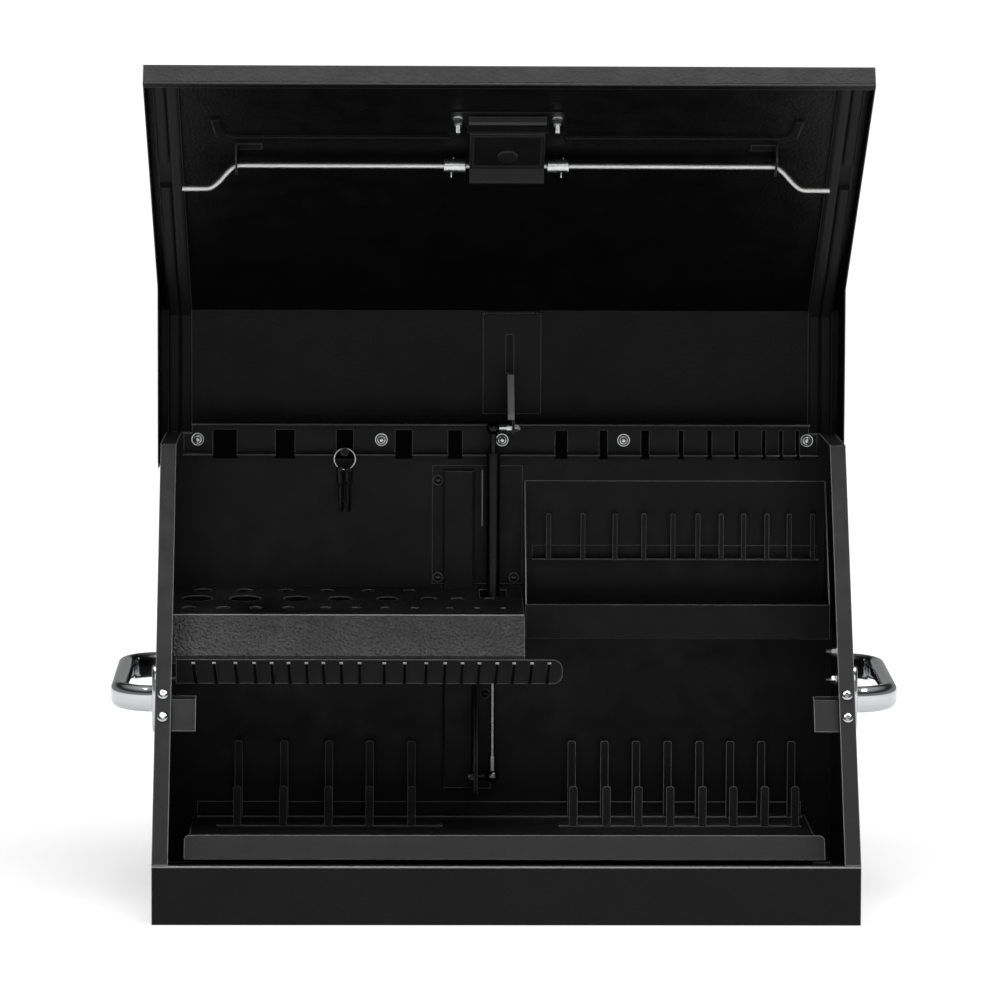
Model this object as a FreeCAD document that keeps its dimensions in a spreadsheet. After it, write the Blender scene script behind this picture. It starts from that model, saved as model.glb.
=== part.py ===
import FreeCAD, Part
import math
import os
import re
import Sketcher
from FreeCAD import Placement, Rotation, Vector

# A top tool chest with a sloped front, shown with its lid open.
# X runs to the right, Y to the back and Z up. The origin is the middle of the underside.

# Driving sizes: name, value in millimetres, degrees or a count, and what it sizes
SIZES = [
    ("case_width", 762, "case, outside, left to right"),
    ("case_depth", 430, "case, outside, front to back"),
    ("case_height", 495, "underside to the top edge of the walls"),
    ("top_depth", 160, "level part of the side walls' top edge"),
    ("lip_height", 64, "front lip panel"),
    ("sheet", 1.2, "steel sheet of the case and the lid"),
    ("bend", 3, "outer radius of a folded edge"),
    ("flange_width", 17.5, "inward flange of a side wall"),
    ("lip_fold", 14, "fold along the top of the front lip panel"),
    ("lip_hem", 7, "turned-down edge of that fold"),
    ("back_fold", 9, "fold along the foot of the back wall"),
    ("hinge_offset", 4, "back wall to the hinge axis"),
    ("hinge_drop", 34, "hinge axis below the top edge"),
    ("knuckle_radius", 3, "hinge knuckle, outside"),
    ("hinge_pin_radius", 1.5, "hinge pin"),
    ("hinge_pin_play", 0.06, "hinge pin to knuckle, on the radius"),
    ("knuckle_pitch", 50, "case knuckle to case knuckle"),
    ("knuckle_gap", 0.6, "between neighbouring knuckles"),
    ("knuckle_pairs", 15, "case knuckles, and as many lid knuckles"),
    ("leaf_thickness", 1.5, "hinge leaf"),
    ("leaf_height", 24, "hinge leaf, from the axis"),
    ("leaf_relief", 3.4, "hinge leaf, clear of the other leaf's knuckles"),
    ("lid_side", 8, "lid wider than the case, on each side"),
    ("lid_gap", 12, "closed lid panel above the case's flanges"),
    ("lid_overhang", 27, "lid past the front lip's top, down the slope"),
    ("lid_lip", 24, "front lip of the lid"),
    ("lid_hem", 8, "turned-back edge of the lid's lip"),
    ("skirt_drop", 91, "lid skirt below the closed top panel"),
    ("skirt_chamfer", 10, "cut corner of the lid skirt"),
    ("rail_inset", 28, "lid rail's inner edge inside the case wall"),
    ("rail_width", 27.5, "lid rail"),
    ("rail_height", 3, "lid rail"),
    ("rail_end_gap", 12, "lid rail, short of the lid's lip"),
    ("rail_rear_gap", 6, "lid rail, short of the case's back"),
    ("seal_margin", 1.2, "lid rail beyond the seal strip"),
    ("seal_groove", 1.6, "between the two beads of a seal strip"),
    ("seal_base", 2, "seal strip under its beads"),
    ("seal_clearance", 0.8, "seal strip to the case's flange"),
    ("latch_plate_half", 46, "outer latch plate, half its width"),
    ("latch_plate_margin", 10, "outer latch plate beyond the pan"),
    ("latch_plate_thick", 1.5, "outer latch plate"),
    ("pan_half", 40.5, "latch pan, half its width"),
    ("pan_far", 436, "latch pan's end near the lip, from the fold"),
    ("pan_near", 358, "latch pan's end near the fold"),
    ("pan_wall", 1.8, "latch pan's wall"),
    ("pan_rise", 22, "latch pan's depth near the lip"),
    ("pan_knee", 372, "latch pan, where its bump begins"),
    ("pan_knee_rise", 27, "latch pan's depth there"),
    ("pan_bump", 364, "latch pan's bump"),
    ("pan_depth", 40, "latch pan, greatest depth"),
    ("window_half", 37, "lid window for the latch, half its width"),
    ("paddle_half", 34, "latch paddle, half its width"),
    ("paddle_length", 52, "latch paddle"),
    ("paddle_thick", 2.5, "latch paddle"),
    ("paddle_pivot_in", 12, "paddle's pivot from the pan's shallow wall"),
    ("paddle_pivot_deep", 6, "paddle's pivot below the panel"),
    ("paddle_barrel", 4, "paddle's barrel, radius"),
    ("paddle_pin_radius", 2, "paddle's pin"),
    ("paddle_pin_play", 0.06, "paddle's pin in the pan, on the radius"),
    ("lock_radius", 9.5, "lock cylinder"),
    ("lock_play", 0.06, "lock cylinder in the paddle, on the radius"),
    ("lock_along", 24, "lock cylinder from the paddle's pivot"),
    ("lock_depth", 11, "lock cylinder below the paddle's face"),
    ("lock_proud", 1.8, "lock cylinder above the paddle's face"),
    ("lock_round", 0.6, "lock cylinder's rim"),
    ("keyway_depth", 1.8, "keyway below the cylinder's face"),
    ("keyway_length", 9, "keyway"),
    ("keyway_width", 2, "keyway"),
    ("bracket_half", 44, "latch bracket's upright, half its width"),
    ("bracket_foot_half", 61, "latch bracket's foot, half its width"),
    ("bracket_foot", 13, "latch bracket's foot along the lid"),
    ("bracket_rise", 20, "latch bracket's upright"),
    ("bracket_thick", 1.6, "latch bracket"),
    ("bracket_ear", 9, "latch bracket's ears beside the pan"),
    ("bracket_gap", 0.5, "latch bracket, clear of the pan"),
    ("latch_stud_x", 53.5, "latch studs from the middle"),
    ("latch_stud_radius", 2.4, "latch studs"),
    ("latch_stud_rise", 20, "latch studs"),
    ("latch_stud_round", 0.8, "latch studs, rounded end"),
    ("rod_along", 352, "latch rods from the fold, along the slope"),
    ("rod_deep", 12, "latch rods below the panel"),
    ("rod_radius", 3.2, "latch rods"),
    ("rod_start", 47, "rod's inner end from the middle"),
    ("rod_bend", 298, "rod's bend from the middle"),
    ("rod_bend_run", 21, "rod's slanted part, along X"),
    ("rod_tip", 353, "rod's tip from the middle"),
    ("rod_crank", 25.4, "rod's tip off its axis"),
    ("rod_crank_angle", 28, "rod's tip, leaning to the fold, degrees"),
    ("rod_bend_radius", 8, "rod's two bends"),
    ("coupler_start", 44.5, "rod coupler from the middle"),
    ("coupler_length", 23.5, "rod coupler"),
    ("coupler_radius", 7.2, "rod coupler"),
    ("coupler_round", 0.8, "rod coupler, rounded ends"),
    ("cotter_x", 60, "cotter pins from the middle"),
    ("cotter_radius", 0.75, "cotter pins"),
    ("cotter_length", 22, "cotter pins"),
    ("cotter_head", 2.6, "cotter pins' loop, radius"),
    ("cotter_gap", 0.2, "cotter pins, clear of the coupler"),
    ("guide_x", 293, "rod guides from the middle"),
    ("guide_thick", 2, "rod guides"),
    ("guide_reach", 20, "rod guides below the panel"),
    ("guide_length", 38, "rod guides along the slope"),
    ("guide_foot", 27, "rod guide's foot along X"),
    ("guide_foot_width", 12, "rod guide's foot along the slope"),
    ("guide_play", 0.4, "rod in its guide, on the radius"),
    ("stiffener_along", 386, "lid stiffener from the fold"),
    ("stiffener_width", 10, "lid stiffener"),
    ("stiffener_thick", 3, "lid stiffener"),
    ("stiffener_round", 1.8, "lid stiffener, rounded edges"),
    ("stiffener_gap", 2, "lid stiffener, clear of the latch bracket"),
    ("stiffener_end", 300, "lid stiffener, where it turns"),
    ("stiffener_turn", 16, "lid stiffener's turned end, along X"),
    ("stiffener_tail", 46, "lid stiffener's turned end, along the slope"),
    ("lid_plate_left", 20, "lid plate, left of the middle"),
    ("lid_plate_right", 47, "lid plate, right of the middle"),
    ("lid_plate_start", 3, "lid plate from the fold"),
    ("lid_plate_length", 116, "lid plate"),
    ("lid_plate_thick", 1.6, "lid plate"),
    ("lid_slot_x", 11, "slot of the lid plate from the middle"),
    ("lid_slot_width", 8.5, "slot of the lid plate"),
    ("lid_slot_start", 28, "slot of the lid plate from the fold"),
    ("lid_slot_length", 44, "slot of the lid plate"),
    ("ball_back", 42, "upper strut ball in front of the hinge, lid closed"),
    ("ball_drop", 37, "upper strut ball below the hinge, lid closed"),
    ("strut_x", -9, "strut from the middle"),
    ("ball_radius", 5, "strut ball"),
    ("ball_play", 0.35, "strut ball in its socket, on the radius"),
    ("socket_radius", 8, "strut socket"),
    ("stud_neck", 3, "strut ball's neck, radius"),
    ("stud_shoulder", 4, "lower strut stud, radius"),
    ("socket_mouth", 4.4, "socket's mouth, radius"),
    ("tab_x", 12, "lid tab from the middle"),
    ("tab_thick", 3, "lid tab"),
    ("tab_flange", 8, "lid tab's front flange"),
    ("tab_head", 10, "lid tab around the ball"),
    ("tab_round", 7, "lid tab, rounded under the ball"),
    ("tab_rack_gap", 3, "lid tab, clear of the wrench rack as it swings over it"),
    ("tab_height", 47.4, "lid tab along the panel"),
    ("tab_nose", 27, "lid tab's upright front above its foot"),
    ("tab_root", 54, "lid tab's flange stops in front of the panel"),
    ("foot_back", 45, "lower strut ball in front of the back wall's face"),
    ("foot_height", 106, "lower strut ball above the underside"),
    ("foot_x", -30, "strut foot from the middle"),
    ("foot_thick", 4, "strut foot"),
    ("foot_low", 20, "strut foot below the ball"),
    ("foot_high", 103, "strut foot above the ball"),
    ("foot_nose", 16, "strut foot around the ball"),
    ("foot_round", 5.3, "strut foot, rounded corner"),
    ("foot_gap", 0.5, "lower stud short of the strut's end"),
    ("strut_neck", 3.8, "strut's upper neck, radius"),
    ("strut_neck_length", 30, "upper ball to the cylinder"),
    ("strut_radius", 7.5, "strut cylinder"),
    ("strut_length", 239, "strut cylinder"),
    ("strut_wall", 1.5, "strut cylinder's wall"),
    ("strut_gland", 8, "strut cylinder's end plug"),
    ("strut_play", 0.06, "strut's sliding fit, on the radius"),
    ("strut_rod_radius", 2.9, "strut rod"),
    ("strut_end_length", 16, "strut rod's end sleeve"),
    ("strut_end_radius", 4.6, "strut rod's end sleeve"),
    ("piston_length", 9, "piston"),
    ("nut_flats", 10, "hexagon nuts, across the flats"),
    ("nut_height", 5, "hexagon nuts"),
    ("thread_end", 2, "bolts beyond their nuts"),
    ("small_nut_flats", 8, "small hexagon nuts, across the flats"),
    ("small_nut_height", 3.5, "small hexagon nuts"),
    ("small_washer_radius", 5.9, "small washers"),
    ("plate_left", 78, "strut back plate, left of the middle"),
    ("plate_right", 25, "strut back plate, right of the middle"),
    ("plate_drop", 37, "strut back plate, below the case's top edge"),
    ("plate_height", 136, "strut back plate"),
    ("plate_thick", 1.5, "strut back plate"),
    ("plate_bolt_inset", 6.6, "back plate's screws from its left edge"),
    ("plate_bolt_drop", 17.2, "back plate's upper screw from its top"),
    ("plate_bolt_rise", 7.6, "back plate's lower screws from its foot"),
    ("plate_bolt_right", 9.6, "back plate's right screw from its right edge"),
    ("foot_bolt_side", 9, "foot's screw beside the upright"),
    ("foot_bolt_drop", 13.2, "foot's screw below its top"),
    ("fin_x", -21, "guide fin from the middle"),
    ("fin_inset", 2, "guide fin, below the back plate's top"),
    ("fin_height", 69, "guide fin"),
    ("fin_depth", 13, "guide fin"),
    ("channel_left", 65, "strut channel, left of the middle"),
    ("channel_width", 35, "strut channel"),
    ("channel_depth", 10, "strut channel"),
    ("channel_low", 88, "strut channel, lower end"),
    ("channel_inset", 6, "strut channel, below the back plate's top"),
    ("rack_half", 361, "wrench rack, half its length"),
    ("rack_clearance", 1, "wrench rack under the closed lid"),
    ("rack_height", 36, "wrench rack"),
    ("rack_depth", 18, "wrench rack"),
    ("rack_sheet", 1.5, "steel sheet of the racks"),
    ("rack_bridge", 8, "wrench rack above its slots"),
    ("rack_bend", 2.4, "outer radius of the racks' folds"),
    ("rack_end_gap", 1.5, "wrench rack's cut corners, inside the lid rails"),
    ("rack_end_drop", 12, "wrench rack's cut corners"),
    ("rack_bolt_drop", 19, "rack bolts below the rack's top"),
    ("washer_radius", 6.6, "washers"),
    ("washer_thick", 1, "washers"),
    ("bolt_radius", 2.9, "bolts and screws"),
    ("shelf_right", 24, "tool shelf's right end from the middle"),
    ("shelf_front", 46, "tool shelf's front edge, Y"),
    ("shelf_drop", 190, "tool shelf's front edge, below the case's top edge"),
    ("shelf_rise", 14, "tool shelf, back above front"),
    ("shelf_face", 50, "tool shelf's sloped face"),
    ("shelf_tab", 9, "tool shelf's bottom flange"),
    ("strut_slot", 15, "tool shelf's slot, each side of the strut"),
    ("strut_slot_front", 66, "tool shelf's slot, in front of the back wall"),
    ("channel_gap", 2, "tool shelf, clear of the channel"),
    ("rear_hole_inset", 26, "tool shelf's rear holes from the back wall"),
    ("middle_hole_inset", 73, "tool shelf's middle holes from the back wall"),
    ("front_hole_inset", 126, "tool shelf's front holes from the back wall"),
    ("comb_left", 363, "comb, left of the middle"),
    ("comb_right", 66, "comb, right of the middle"),
    ("comb_drop", 27, "comb plate"),
    ("comb_lap", 4, "comb plate below the sloped face"),
    ("comb_corner", 11, "comb plate's right corners"),
    ("comb_finger_width", 4, "comb fingers"),
    ("comb_finger_reach", 100, "comb fingers"),
    ("comb_finger_rise", 34, "comb finger's tip above its root"),
    ("comb_finger_thick", 2.4, "comb fingers"),
    ("bin_left", 27, "parts bin's left end from the middle"),
    ("bin_length", 344, "parts bin"),
    ("bin_drop", 54.5, "parts bin's back, below the case's top edge"),
    ("bin_back_height", 172.5, "parts bin's back"),
    ("bin_end_top", 3.6, "top edge of the parts bin's ends"),
    ("bin_lip", 40, "parts bin's front lip"),
    ("bin_depth", 85, "parts bin"),
    ("bin_rack_rise", 84, "bin rack's foot above the bin's floor"),
    ("bin_rack_back", 15, "bin rack's back flange"),
    ("bin_rack_depth", 22, "bin rack"),
    ("bin_rack_margin", 9, "bin rack, short of the bin's ends"),
    ("bin_finger_width", 5.5, "bin rack's fingers"),
    ("bin_finger_height", 53, "bin rack's fingers"),
    ("bin_finger_round", 1.9, "bin rack's fingers, rounded tips"),
    ("tray_half", 350, "bottom tray, half its width"),
    ("tray_front", -112, "bottom tray's front edge, Y"),
    ("tray_height", 56, "bottom tray's top face"),
    ("tray_lip", 28, "bottom tray's leaning front lip"),
    ("tray_corner", 6, "bottom tray's lip, corners"),
    ("post_radius", 5, "tray posts"),
    ("post_x", 332, "tray posts from the middle"),
    ("post_inset", 17, "tray posts behind the tray's front edge"),
    ("post_rear_inset", 24, "tray posts in front of the back wall"),
    ("rear_rack_half", 346, "rear rack, half its length"),
    ("rear_rack_depth", 23, "rear rack"),
    ("rear_rack_back", 15, "rear rack's back flange"),
    ("rear_finger_height", 88, "rear rack's fingers"),
    ("front_rack_y", 120, "front racks' fingers, Y"),
    ("front_rack_depth", 17, "front racks' base strip"),
    ("front_finger_height", 46, "front racks' fingers"),
    ("front_rack_inner", 66, "left front rack's inner end"),
    ("front_rack_left_length", 255, "left front rack"),
    ("front_rack_right_length", 274, "right front rack"),
    ("tray_finger_width", 9.2, "tray racks' fingers"),
    ("tray_finger_round", 3.2, "tray racks' fingers, rounded tips"),
    ("handle_slope_gap", 28.7, "handle's front arm, behind the walls' sloped edge"),
    ("handle_length", 220, "handle, arm to arm"),
    ("handle_drop", 267, "handle's front arm, below the case's top edge"),
    ("handle_tilt", 2.6, "handle, rear end up, degrees"),
    ("handle_reach", 41.5, "handle's middle line off the wall"),
    ("handle_corner", 34, "handle's corners"),
    ("grip_height", 29, "handle's section, height"),
    ("grip_width", 20, "handle's section, width"),
    ("grip_round", 8, "handle's section, corners"),
    ("foot_plate_height", 74, "handle's foot plates"),
    ("foot_plate_width", 26, "handle's foot plates"),
    ("foot_plate_thick", 4, "handle's foot plates"),
    ("handle_bolt_spread", 32, "handle bolts, one above the other"),
    ("handle_bolt_reach", 12, "handle bolts inside the wall"),
    ("catch_along", 326.2, "catches, from the lid's fold along the closed lid's slope"),
    ("catch_length", 46, "catches, along the slope"),
    ("catch_inner", 337, "catches' inner edge from the middle"),
    ("catch_thick", 2, "catches"),
    ("catch_depth", 15, "catch's hook below the flange"),
    ("catch_ramp", 8, "catch's bent end"),
    ("catch_edge", 2, "catch, short of the wall"),
    ("screw_spread", 27, "catch screws, along the slope"),
    ("screw_head", 6.4, "catch screws' heads, radius"),
    ("screw_head_rise", 3.2, "catch screws' heads"),
    ("screw_head_round", 2.5, "catch screws' heads, rounded rim"),
    ("peg_x", -177.5, "key peg from the middle"),
    ("peg_drop", 20, "key peg, below the case's top edge"),
    ("peg_radius", 2.4, "key peg"),
    ("peg_head", 4.5, "key peg's head, radius"),
    ("peg_head_thick", 2, "key peg's head"),
    ("peg_reach", 27, "key peg in front of the back wall"),
    ("ring_radius", 12, "key ring, middle of the wire"),
    ("ring_wire", 0.9, "key ring's wire, radius"),
    ("ring_play", 0.3, "key ring on its peg"),
    ("ring_reach", 22, "key ring in front of the back wall"),
    ("key_spread", 10, "between the keys"),
    ("key_head", 10, "key's head, radius"),
    ("key_hole", 3.2, "key's hole, radius"),
    ("key_hole_edge", 4.6, "key's hole from the head's top"),
    ("key_hang", 1.2, "key's hole above the ring's wire"),
    ("key_thick", 2, "keys"),
    ("key_blade", 34, "key's blade below the head's middle"),
    ("key_blade_width", 7, "key's blade"),
    ("key_turn", 40, "keys turned about the upright, degrees"),
    ("cut_margin", 1, "cuts start and end this far outside the solid"),
]

# Rows of like features, each one's place along X in millimetres from the middle
ROWS = {
    "rack_slot": [-314, -245.5, -177.5, -110.5, -52, 69, 117, 164.5, 205.5, 238, 269, 300, 319.5, 338.5],
    "rack_slot_width": [27, 21.5, 19, 19, 16, 13.5, 9, 9, 5.5, 5, 4.5, 4, 4, 4],
    "rack_bolt": [-345, -136, 1.5, 140, 349],
    "rear_hole": [-338.5, -291, -244.5, -197, -150.5, -104],
    "rear_hole_radius": [9.5, 8.8, 8.2, 7.6, 7, 6.4],
    "middle_hole": [-343, -289, -231, -182, -129, -82, -49.5, -13.5],
    "middle_hole_radius": [17, 17.5, 14.5, 13.5, 12, 9, 7.3, 5.6],
    "front_hole": [-351, -312.5, -276, -239.5, -198, -163.5, -131.5, -98, -59, -28.5, 1.5],
    "front_hole_radius": [7.8, 7.2, 6.8, 6.2, 5.8, 5.2, 4.8, 4.2, 3.8, 3.2, 2.8],
    "comb_finger": [-340.5, -318, -294.5, -274, -255, -236.5, -217, -198.5, -179, -159,
                    -132, -109.5, -86, -65.5, -46.5, -28, -8.5, 10, 29.5, 48.5],
    "bin_finger": [54.5, 93.5, 130, 163, 196, 224.5, 251, 276.5, 303, 328.5, 355],
    "left_finger": [-298, -246, -195, -148.5, -101],
    "right_finger": [82, 119.5, 155.5, 191.5, 228, 263, 298.5, 333],
}

# Sizes that follow from the driving ones
DERIVED = [
    ("half_width", "=case_width / 2"),
    ("inner_x", "=half_width - sheet"),
    ("front_y", "=-case_depth / 2"),
    ("back_y", "=case_depth / 2"),
    ("inner_back", "=back_y - sheet"),
    ("slope_top", "=back_y - top_depth"),
    ("slope_angle", "=atan2(case_height - lip_height; slope_top - front_y)"),
    ("hinge_y", "=back_y + hinge_offset"),
    ("hinge_z", "=case_height - hinge_drop"),
    ("panel_z", "=case_height + lid_gap"),
    ("fold_y", "=slope_top - lid_gap * tan(slope_angle / 2)"),
    ("lid_edge", "=hypot(case_height - lip_height; slope_top - front_y)"
                 " + lid_gap * tan(slope_angle / 2)"),
    ("lid_slope", "=lid_edge + lid_overhang"),
    ("catch_middle", "=lid_edge - catch_along"),
    ("lid_half", "=half_width + lid_side"),
    ("rear_y", "=hinge_y + knuckle_radius"),
    ("plate_high", "=case_height - plate_drop"),
    ("plate_low", "=plate_high - plate_height"),
    ("shelf_front_z", "=case_height - shelf_drop"),
    ("bin_low", "=case_height - bin_drop - bin_back_height"),
    ("bin_rack_z", "=bin_low + bin_rack_rise"),
    ("handle_height", "=case_height - handle_drop"),
    ("handle_front", "=front_y + (handle_height - lip_height) / tan(slope_angle) + handle_slope_gap"),
    ("peg_z", "=case_height - peg_drop"),
    ("rack_top", "=panel_z - rack_clearance"),
    ("rack_low", "=rack_top - rack_height"),
    ("rack_sweep", "=hypot(rack_top - hinge_z; hinge_y - inner_back + rack_depth)"),
    ("ball_y", "=hinge_y - ball_drop"),
    ("ball_z", "=hinge_z + ball_back"),
    ("foot_y", "=back_y - foot_back"),
    ("strut_span", "=hypot(ball_z - foot_height; ball_y - foot_y)"),
    ("strut_lean", "=atan2(foot_y - ball_y; ball_z - foot_height)"),
    ("pivot_along", "=pan_knee + 2 * paddle_barrel"),
    ("ring_z", "=peg_z + peg_radius + ring_play - ring_radius + ring_wire"),
    ("key_z", "=ring_z - sqrt(ring_radius^2 - (key_spread / 2)^2) + ring_wire + key_hang"
              " - key_hole - key_head + key_hole_edge"),
]

doc = FreeCAD.newDocument("TopChest")
sheet = doc.addObject("Spreadsheet::Sheet", "Sizes")


def fill_sheet():
    """Write every size into the sheet under its own name, and give back the names."""
    cells = [(name, str(number), note) for name, number, note in SIZES]
    for name, numbers in ROWS.items():
        cells += [(f"{name}_no{place}", str(number), "") for place, number in enumerate(numbers, 1)]
    cells += [(name, formula, "worked out") for name, formula in DERIVED]
    for row, (name, content, note) in enumerate(cells, 1):
        sheet.set(f"A{row}", name)
        sheet.set(f"B{row}", content)
        sheet.set(f"C{row}", note)
        sheet.setAlias(f"B{row}", name)
    doc.recompute()
    return {name for name, content, note in cells}


NAMES = fill_sheet()


def bound(expression):
    """The expression with each size's name written in full."""
    def full(match):
        return f"Sizes.{match.group()}" if match.group() in NAMES else match.group()
    return re.sub(r"[a-z][a-z_0-9]*", full, str(expression))


def value(expression):
    """The number that an expression of sizes gives."""
    result = sheet.evalExpression(bound(expression))
    return float(getattr(result, "Value", result))


def row_names(name):
    """The sheet names of one row of like features."""
    return [f"{name}_no{place}" for place in range(1, len(ROWS[name]) + 1)]


# Frames that a piece can be drawn in: Y and Z of the origin, and the turn about X.
# "lid" is drawn closed, and stands open. On the slopes, Y runs along the slope and Z across it.
FRAMES = {
    "case": ("0", "0", "0 deg"),
    "case_slope": ("front_y", "lip_height", "slope_angle"),
    "lid": ("hinge_y - hinge_z", "hinge_z + hinge_y", "-90 deg"),
    "lid_slope": ("hinge_y + panel_z - hinge_z", "hinge_z + hinge_y - fold_y", "90 deg + slope_angle"),
    "rods": ("hinge_y - hinge_z + panel_z - rod_along * sin(slope_angle) - rod_deep * cos(slope_angle)",
             "hinge_z + hinge_y - fold_y + rod_along * cos(slope_angle) - rod_deep * sin(slope_angle)",
             "180 deg + slope_angle + rod_crank_angle * 1 deg"),
    "handle": ("handle_front", "handle_height", "handle_tilt * 1 deg"),
    "strut": ("ball_y", "ball_z", "strut_lean"),
}
PLANES = {"X": "YZ_Plane", "Y": "XZ_Plane", "Z": "XY_Plane"}


def set_frame(thing, frame):
    """Place an object in one of the frames."""
    y, z, turn = FRAMES[frame]
    thing.Placement = Placement(Vector(0, 0, 0), Rotation(Vector(1, 0, 0), 1))
    thing.setExpression(".Placement.Base.y", bound(y))
    thing.setExpression(".Placement.Base.z", bound(z))
    thing.setExpression(".Placement.Rotation.Angle", bound(turn))


def on_lid(y, z):
    """A point given on the open lid, as the closed lid's Y and Z."""
    return (f"hinge_y + hinge_z - ({z})", f"hinge_z - hinge_y + ({y})")


def lid_point(along, deep):
    """Closed lid's Y and Z at a distance down the slope and a depth below its panel."""
    return (f"fold_y - ({along}) * cos(slope_angle) + ({deep}) * sin(slope_angle)",
            f"panel_z - ({along}) * sin(slope_angle) - ({deep}) * cos(slope_angle)")


def lid_corner(deep):
    """Closed lid's fold, at a depth below both of its panels."""
    return (f"fold_y + ({deep}) * tan(slope_angle / 2)", f"panel_z - ({deep})")


def box(low_a, high_a, low_b, high_b):
    """Corners of a rectangle."""
    return [(low_a, low_b), (high_a, low_b), (high_a, high_b), (low_a, high_b)]


def disc(a, b, radius):
    """A circle for a sketch."""
    return ("disc", a, b, radius)


def hexagon(a, b, flats):
    """Corners of a hexagon, given across its flats."""
    reach = f"({flats}) / (2 * cos(30 deg))"
    return [(f"({a}) + {reach} * cos({60 * turn} deg)", f"({b}) + {reach} * sin({60 * turn} deg)")
            for turn in range(6)]


class Piece:
    """One sub-part, built from pads and pockets in its own body."""

    def __init__(self, label, frame="case"):
        self.body = doc.addObject("PartDesign::Body", label)
        self.body.Label = label
        if frame != "case":
            set_frame(self.body, frame)

    def sketch(self, axis, level):
        """An empty sketch square to an axis, at a level on it."""
        sketch = self.body.newObject("Sketcher::SketchObject", "Sketch")
        role = PLANES[axis]
        plane = next(item for item in self.body.Origin.OriginFeatures if item.Role == role)
        sketch.AttachmentSupport = [(plane, "")]
        sketch.MapMode = "FlatFace"
        sign = "-" if axis == "Y" else ""
        sketch.setExpression(".AttachmentOffset.Base.z", bound(f"{sign}({level})"))
        return sketch

    def pin_point(self, sketch, geometry, position, a, b):
        """Hold a sketch point at two expressions from the origin."""
        for kind, expression in (("DistanceX", a), ("DistanceY", b)):
            number = value(expression)
            index = sketch.addConstraint(Sketcher.Constraint(kind, -1, 1, geometry, position, number))
            sketch.setExpression(f"Constraints[{index}]", bound(expression))

    def draw(self, sketch, loop):
        """Add one closed loop to a sketch."""
        if loop[0] == "disc":
            a, b, radius = loop[1:]
            centre = Vector(value(a), value(b), 0)
            index = sketch.addGeometry(Part.Circle(centre, Vector(0, 0, 1), value(radius)))
            self.pin_point(sketch, index, 3, a, b)
            size = sketch.addConstraint(Sketcher.Constraint("Radius", index, value(radius)))
            sketch.setExpression(f"Constraints[{size}]", bound(radius))
            return
        corners = [Vector(value(a), value(b), 0) for a, b in loop]
        lines = [sketch.addGeometry(Part.LineSegment(corner, corners[(place + 1) % len(corners)]))
                 for place, corner in enumerate(corners)]
        for place, line in enumerate(lines):
            following = lines[(place + 1) % len(lines)]
            sketch.addConstraint(Sketcher.Constraint("Coincident", line, 2, following, 1))
            self.pin_point(sketch, line, 1, *loop[place])

    def feature(self, kind, axis, start, length, loops):
        """A pad or pocket of some loops, from a start along an axis."""
        level = f"({start}) + ({length})" if axis == "Y" else start
        sketch = self.sketch(axis, level)
        for loop in loops:
            self.draw(sketch, loop)
        feature = self.body.newObject(kind, kind.split("::")[1])
        feature.Profile = sketch
        feature.setExpression("Length", bound(length))
        return feature

    def add(self, axis, start, length, *loops):
        """Add material."""
        self.feature("PartDesign::Pad", axis, start, length, loops)
        return self

    def cut(self, axis, start, length, *loops):
        """Take material away, and make sure that some went."""
        doc.recompute()
        before = self.body.Shape.Volume
        pocket = self.feature("PartDesign::Pocket", axis, start, length, loops)
        pocket.Reversed = True
        doc.recompute()
        if not self.body.Shape.Volume < before:
            raise ValueError(f"{self.body.Label}: a pocket cut nothing")
        return self

    def cut_through(self, axis, start, length, *loops):
        """Take material away from a little before a start to a little past its length."""
        return self.cut(axis, f"{start} - cut_margin", f"{length} + 2 * cut_margin", *loops)

    def fillet(self, radius, wanted):
        """Round the edges that a test picks out."""
        doc.recompute()
        tip = self.body.Tip
        names = [f"Edge{place}" for place, edge in enumerate(tip.Shape.Edges, 1) if wanted(edge)]
        if not names:
            raise ValueError(f"{self.body.Label}: no edge to round")
        fillet = self.body.newObject("PartDesign::Fillet", "Fillet")
        fillet.Base = (tip, names)
        fillet.setExpression("Radius", bound(radius))
        return self

    def round(self, axis, radius, *points):
        """Round the edges that run along an axis through points of the section."""
        places = [(value(a), value(b)) for a, b in points]
        return self.fillet(radius, lambda edge: runs_through(edge, axis, places))

    def round_rims(self, axis, level, radius):
        """Round the circular edges that lie at a level on an axis."""
        place = "XYZ".index(axis)
        height = value(level)

        def wanted(edge):
            is_round = isinstance(edge.Curve, Part.Circle)
            return is_round and abs(edge.Curve.Center[place] - height) < 0.01

        return self.fillet(radius, wanted)


def runs_through(edge, axis, places):
    """Whether a straight edge runs along an axis through one of some places."""
    if not isinstance(edge.Curve, Part.Line):
        return False
    start, end = edge.Vertexes[0].Point, edge.Vertexes[-1].Point
    along = "XYZ".index(axis)
    across = [place for place in range(3) if place != along]
    if any(abs(start[place] - end[place]) > 0.01 for place in across):
        return False
    return any(all(abs(start[place] - wanted) < 0.02 for place, wanted in zip(across, pair))
               for pair in places)


def mirrored(side, low, high):
    """Start and length along X of a span on the left (-1) or right (1)."""
    start = f"-({high})" if side < 0 else f"{low}"
    return start, f"({high}) - ({low})"


# Names, sides and signs of what comes in pairs
SIDES = (("left", -1), ("right", 1))


# Case: floor, walls and front lip panel

def make_floor():
    floor = Piece("case_floor")
    floor.add("Z", "0", "sheet", box("-inner_x", "inner_x", "front_y + sheet", "inner_back"))


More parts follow.
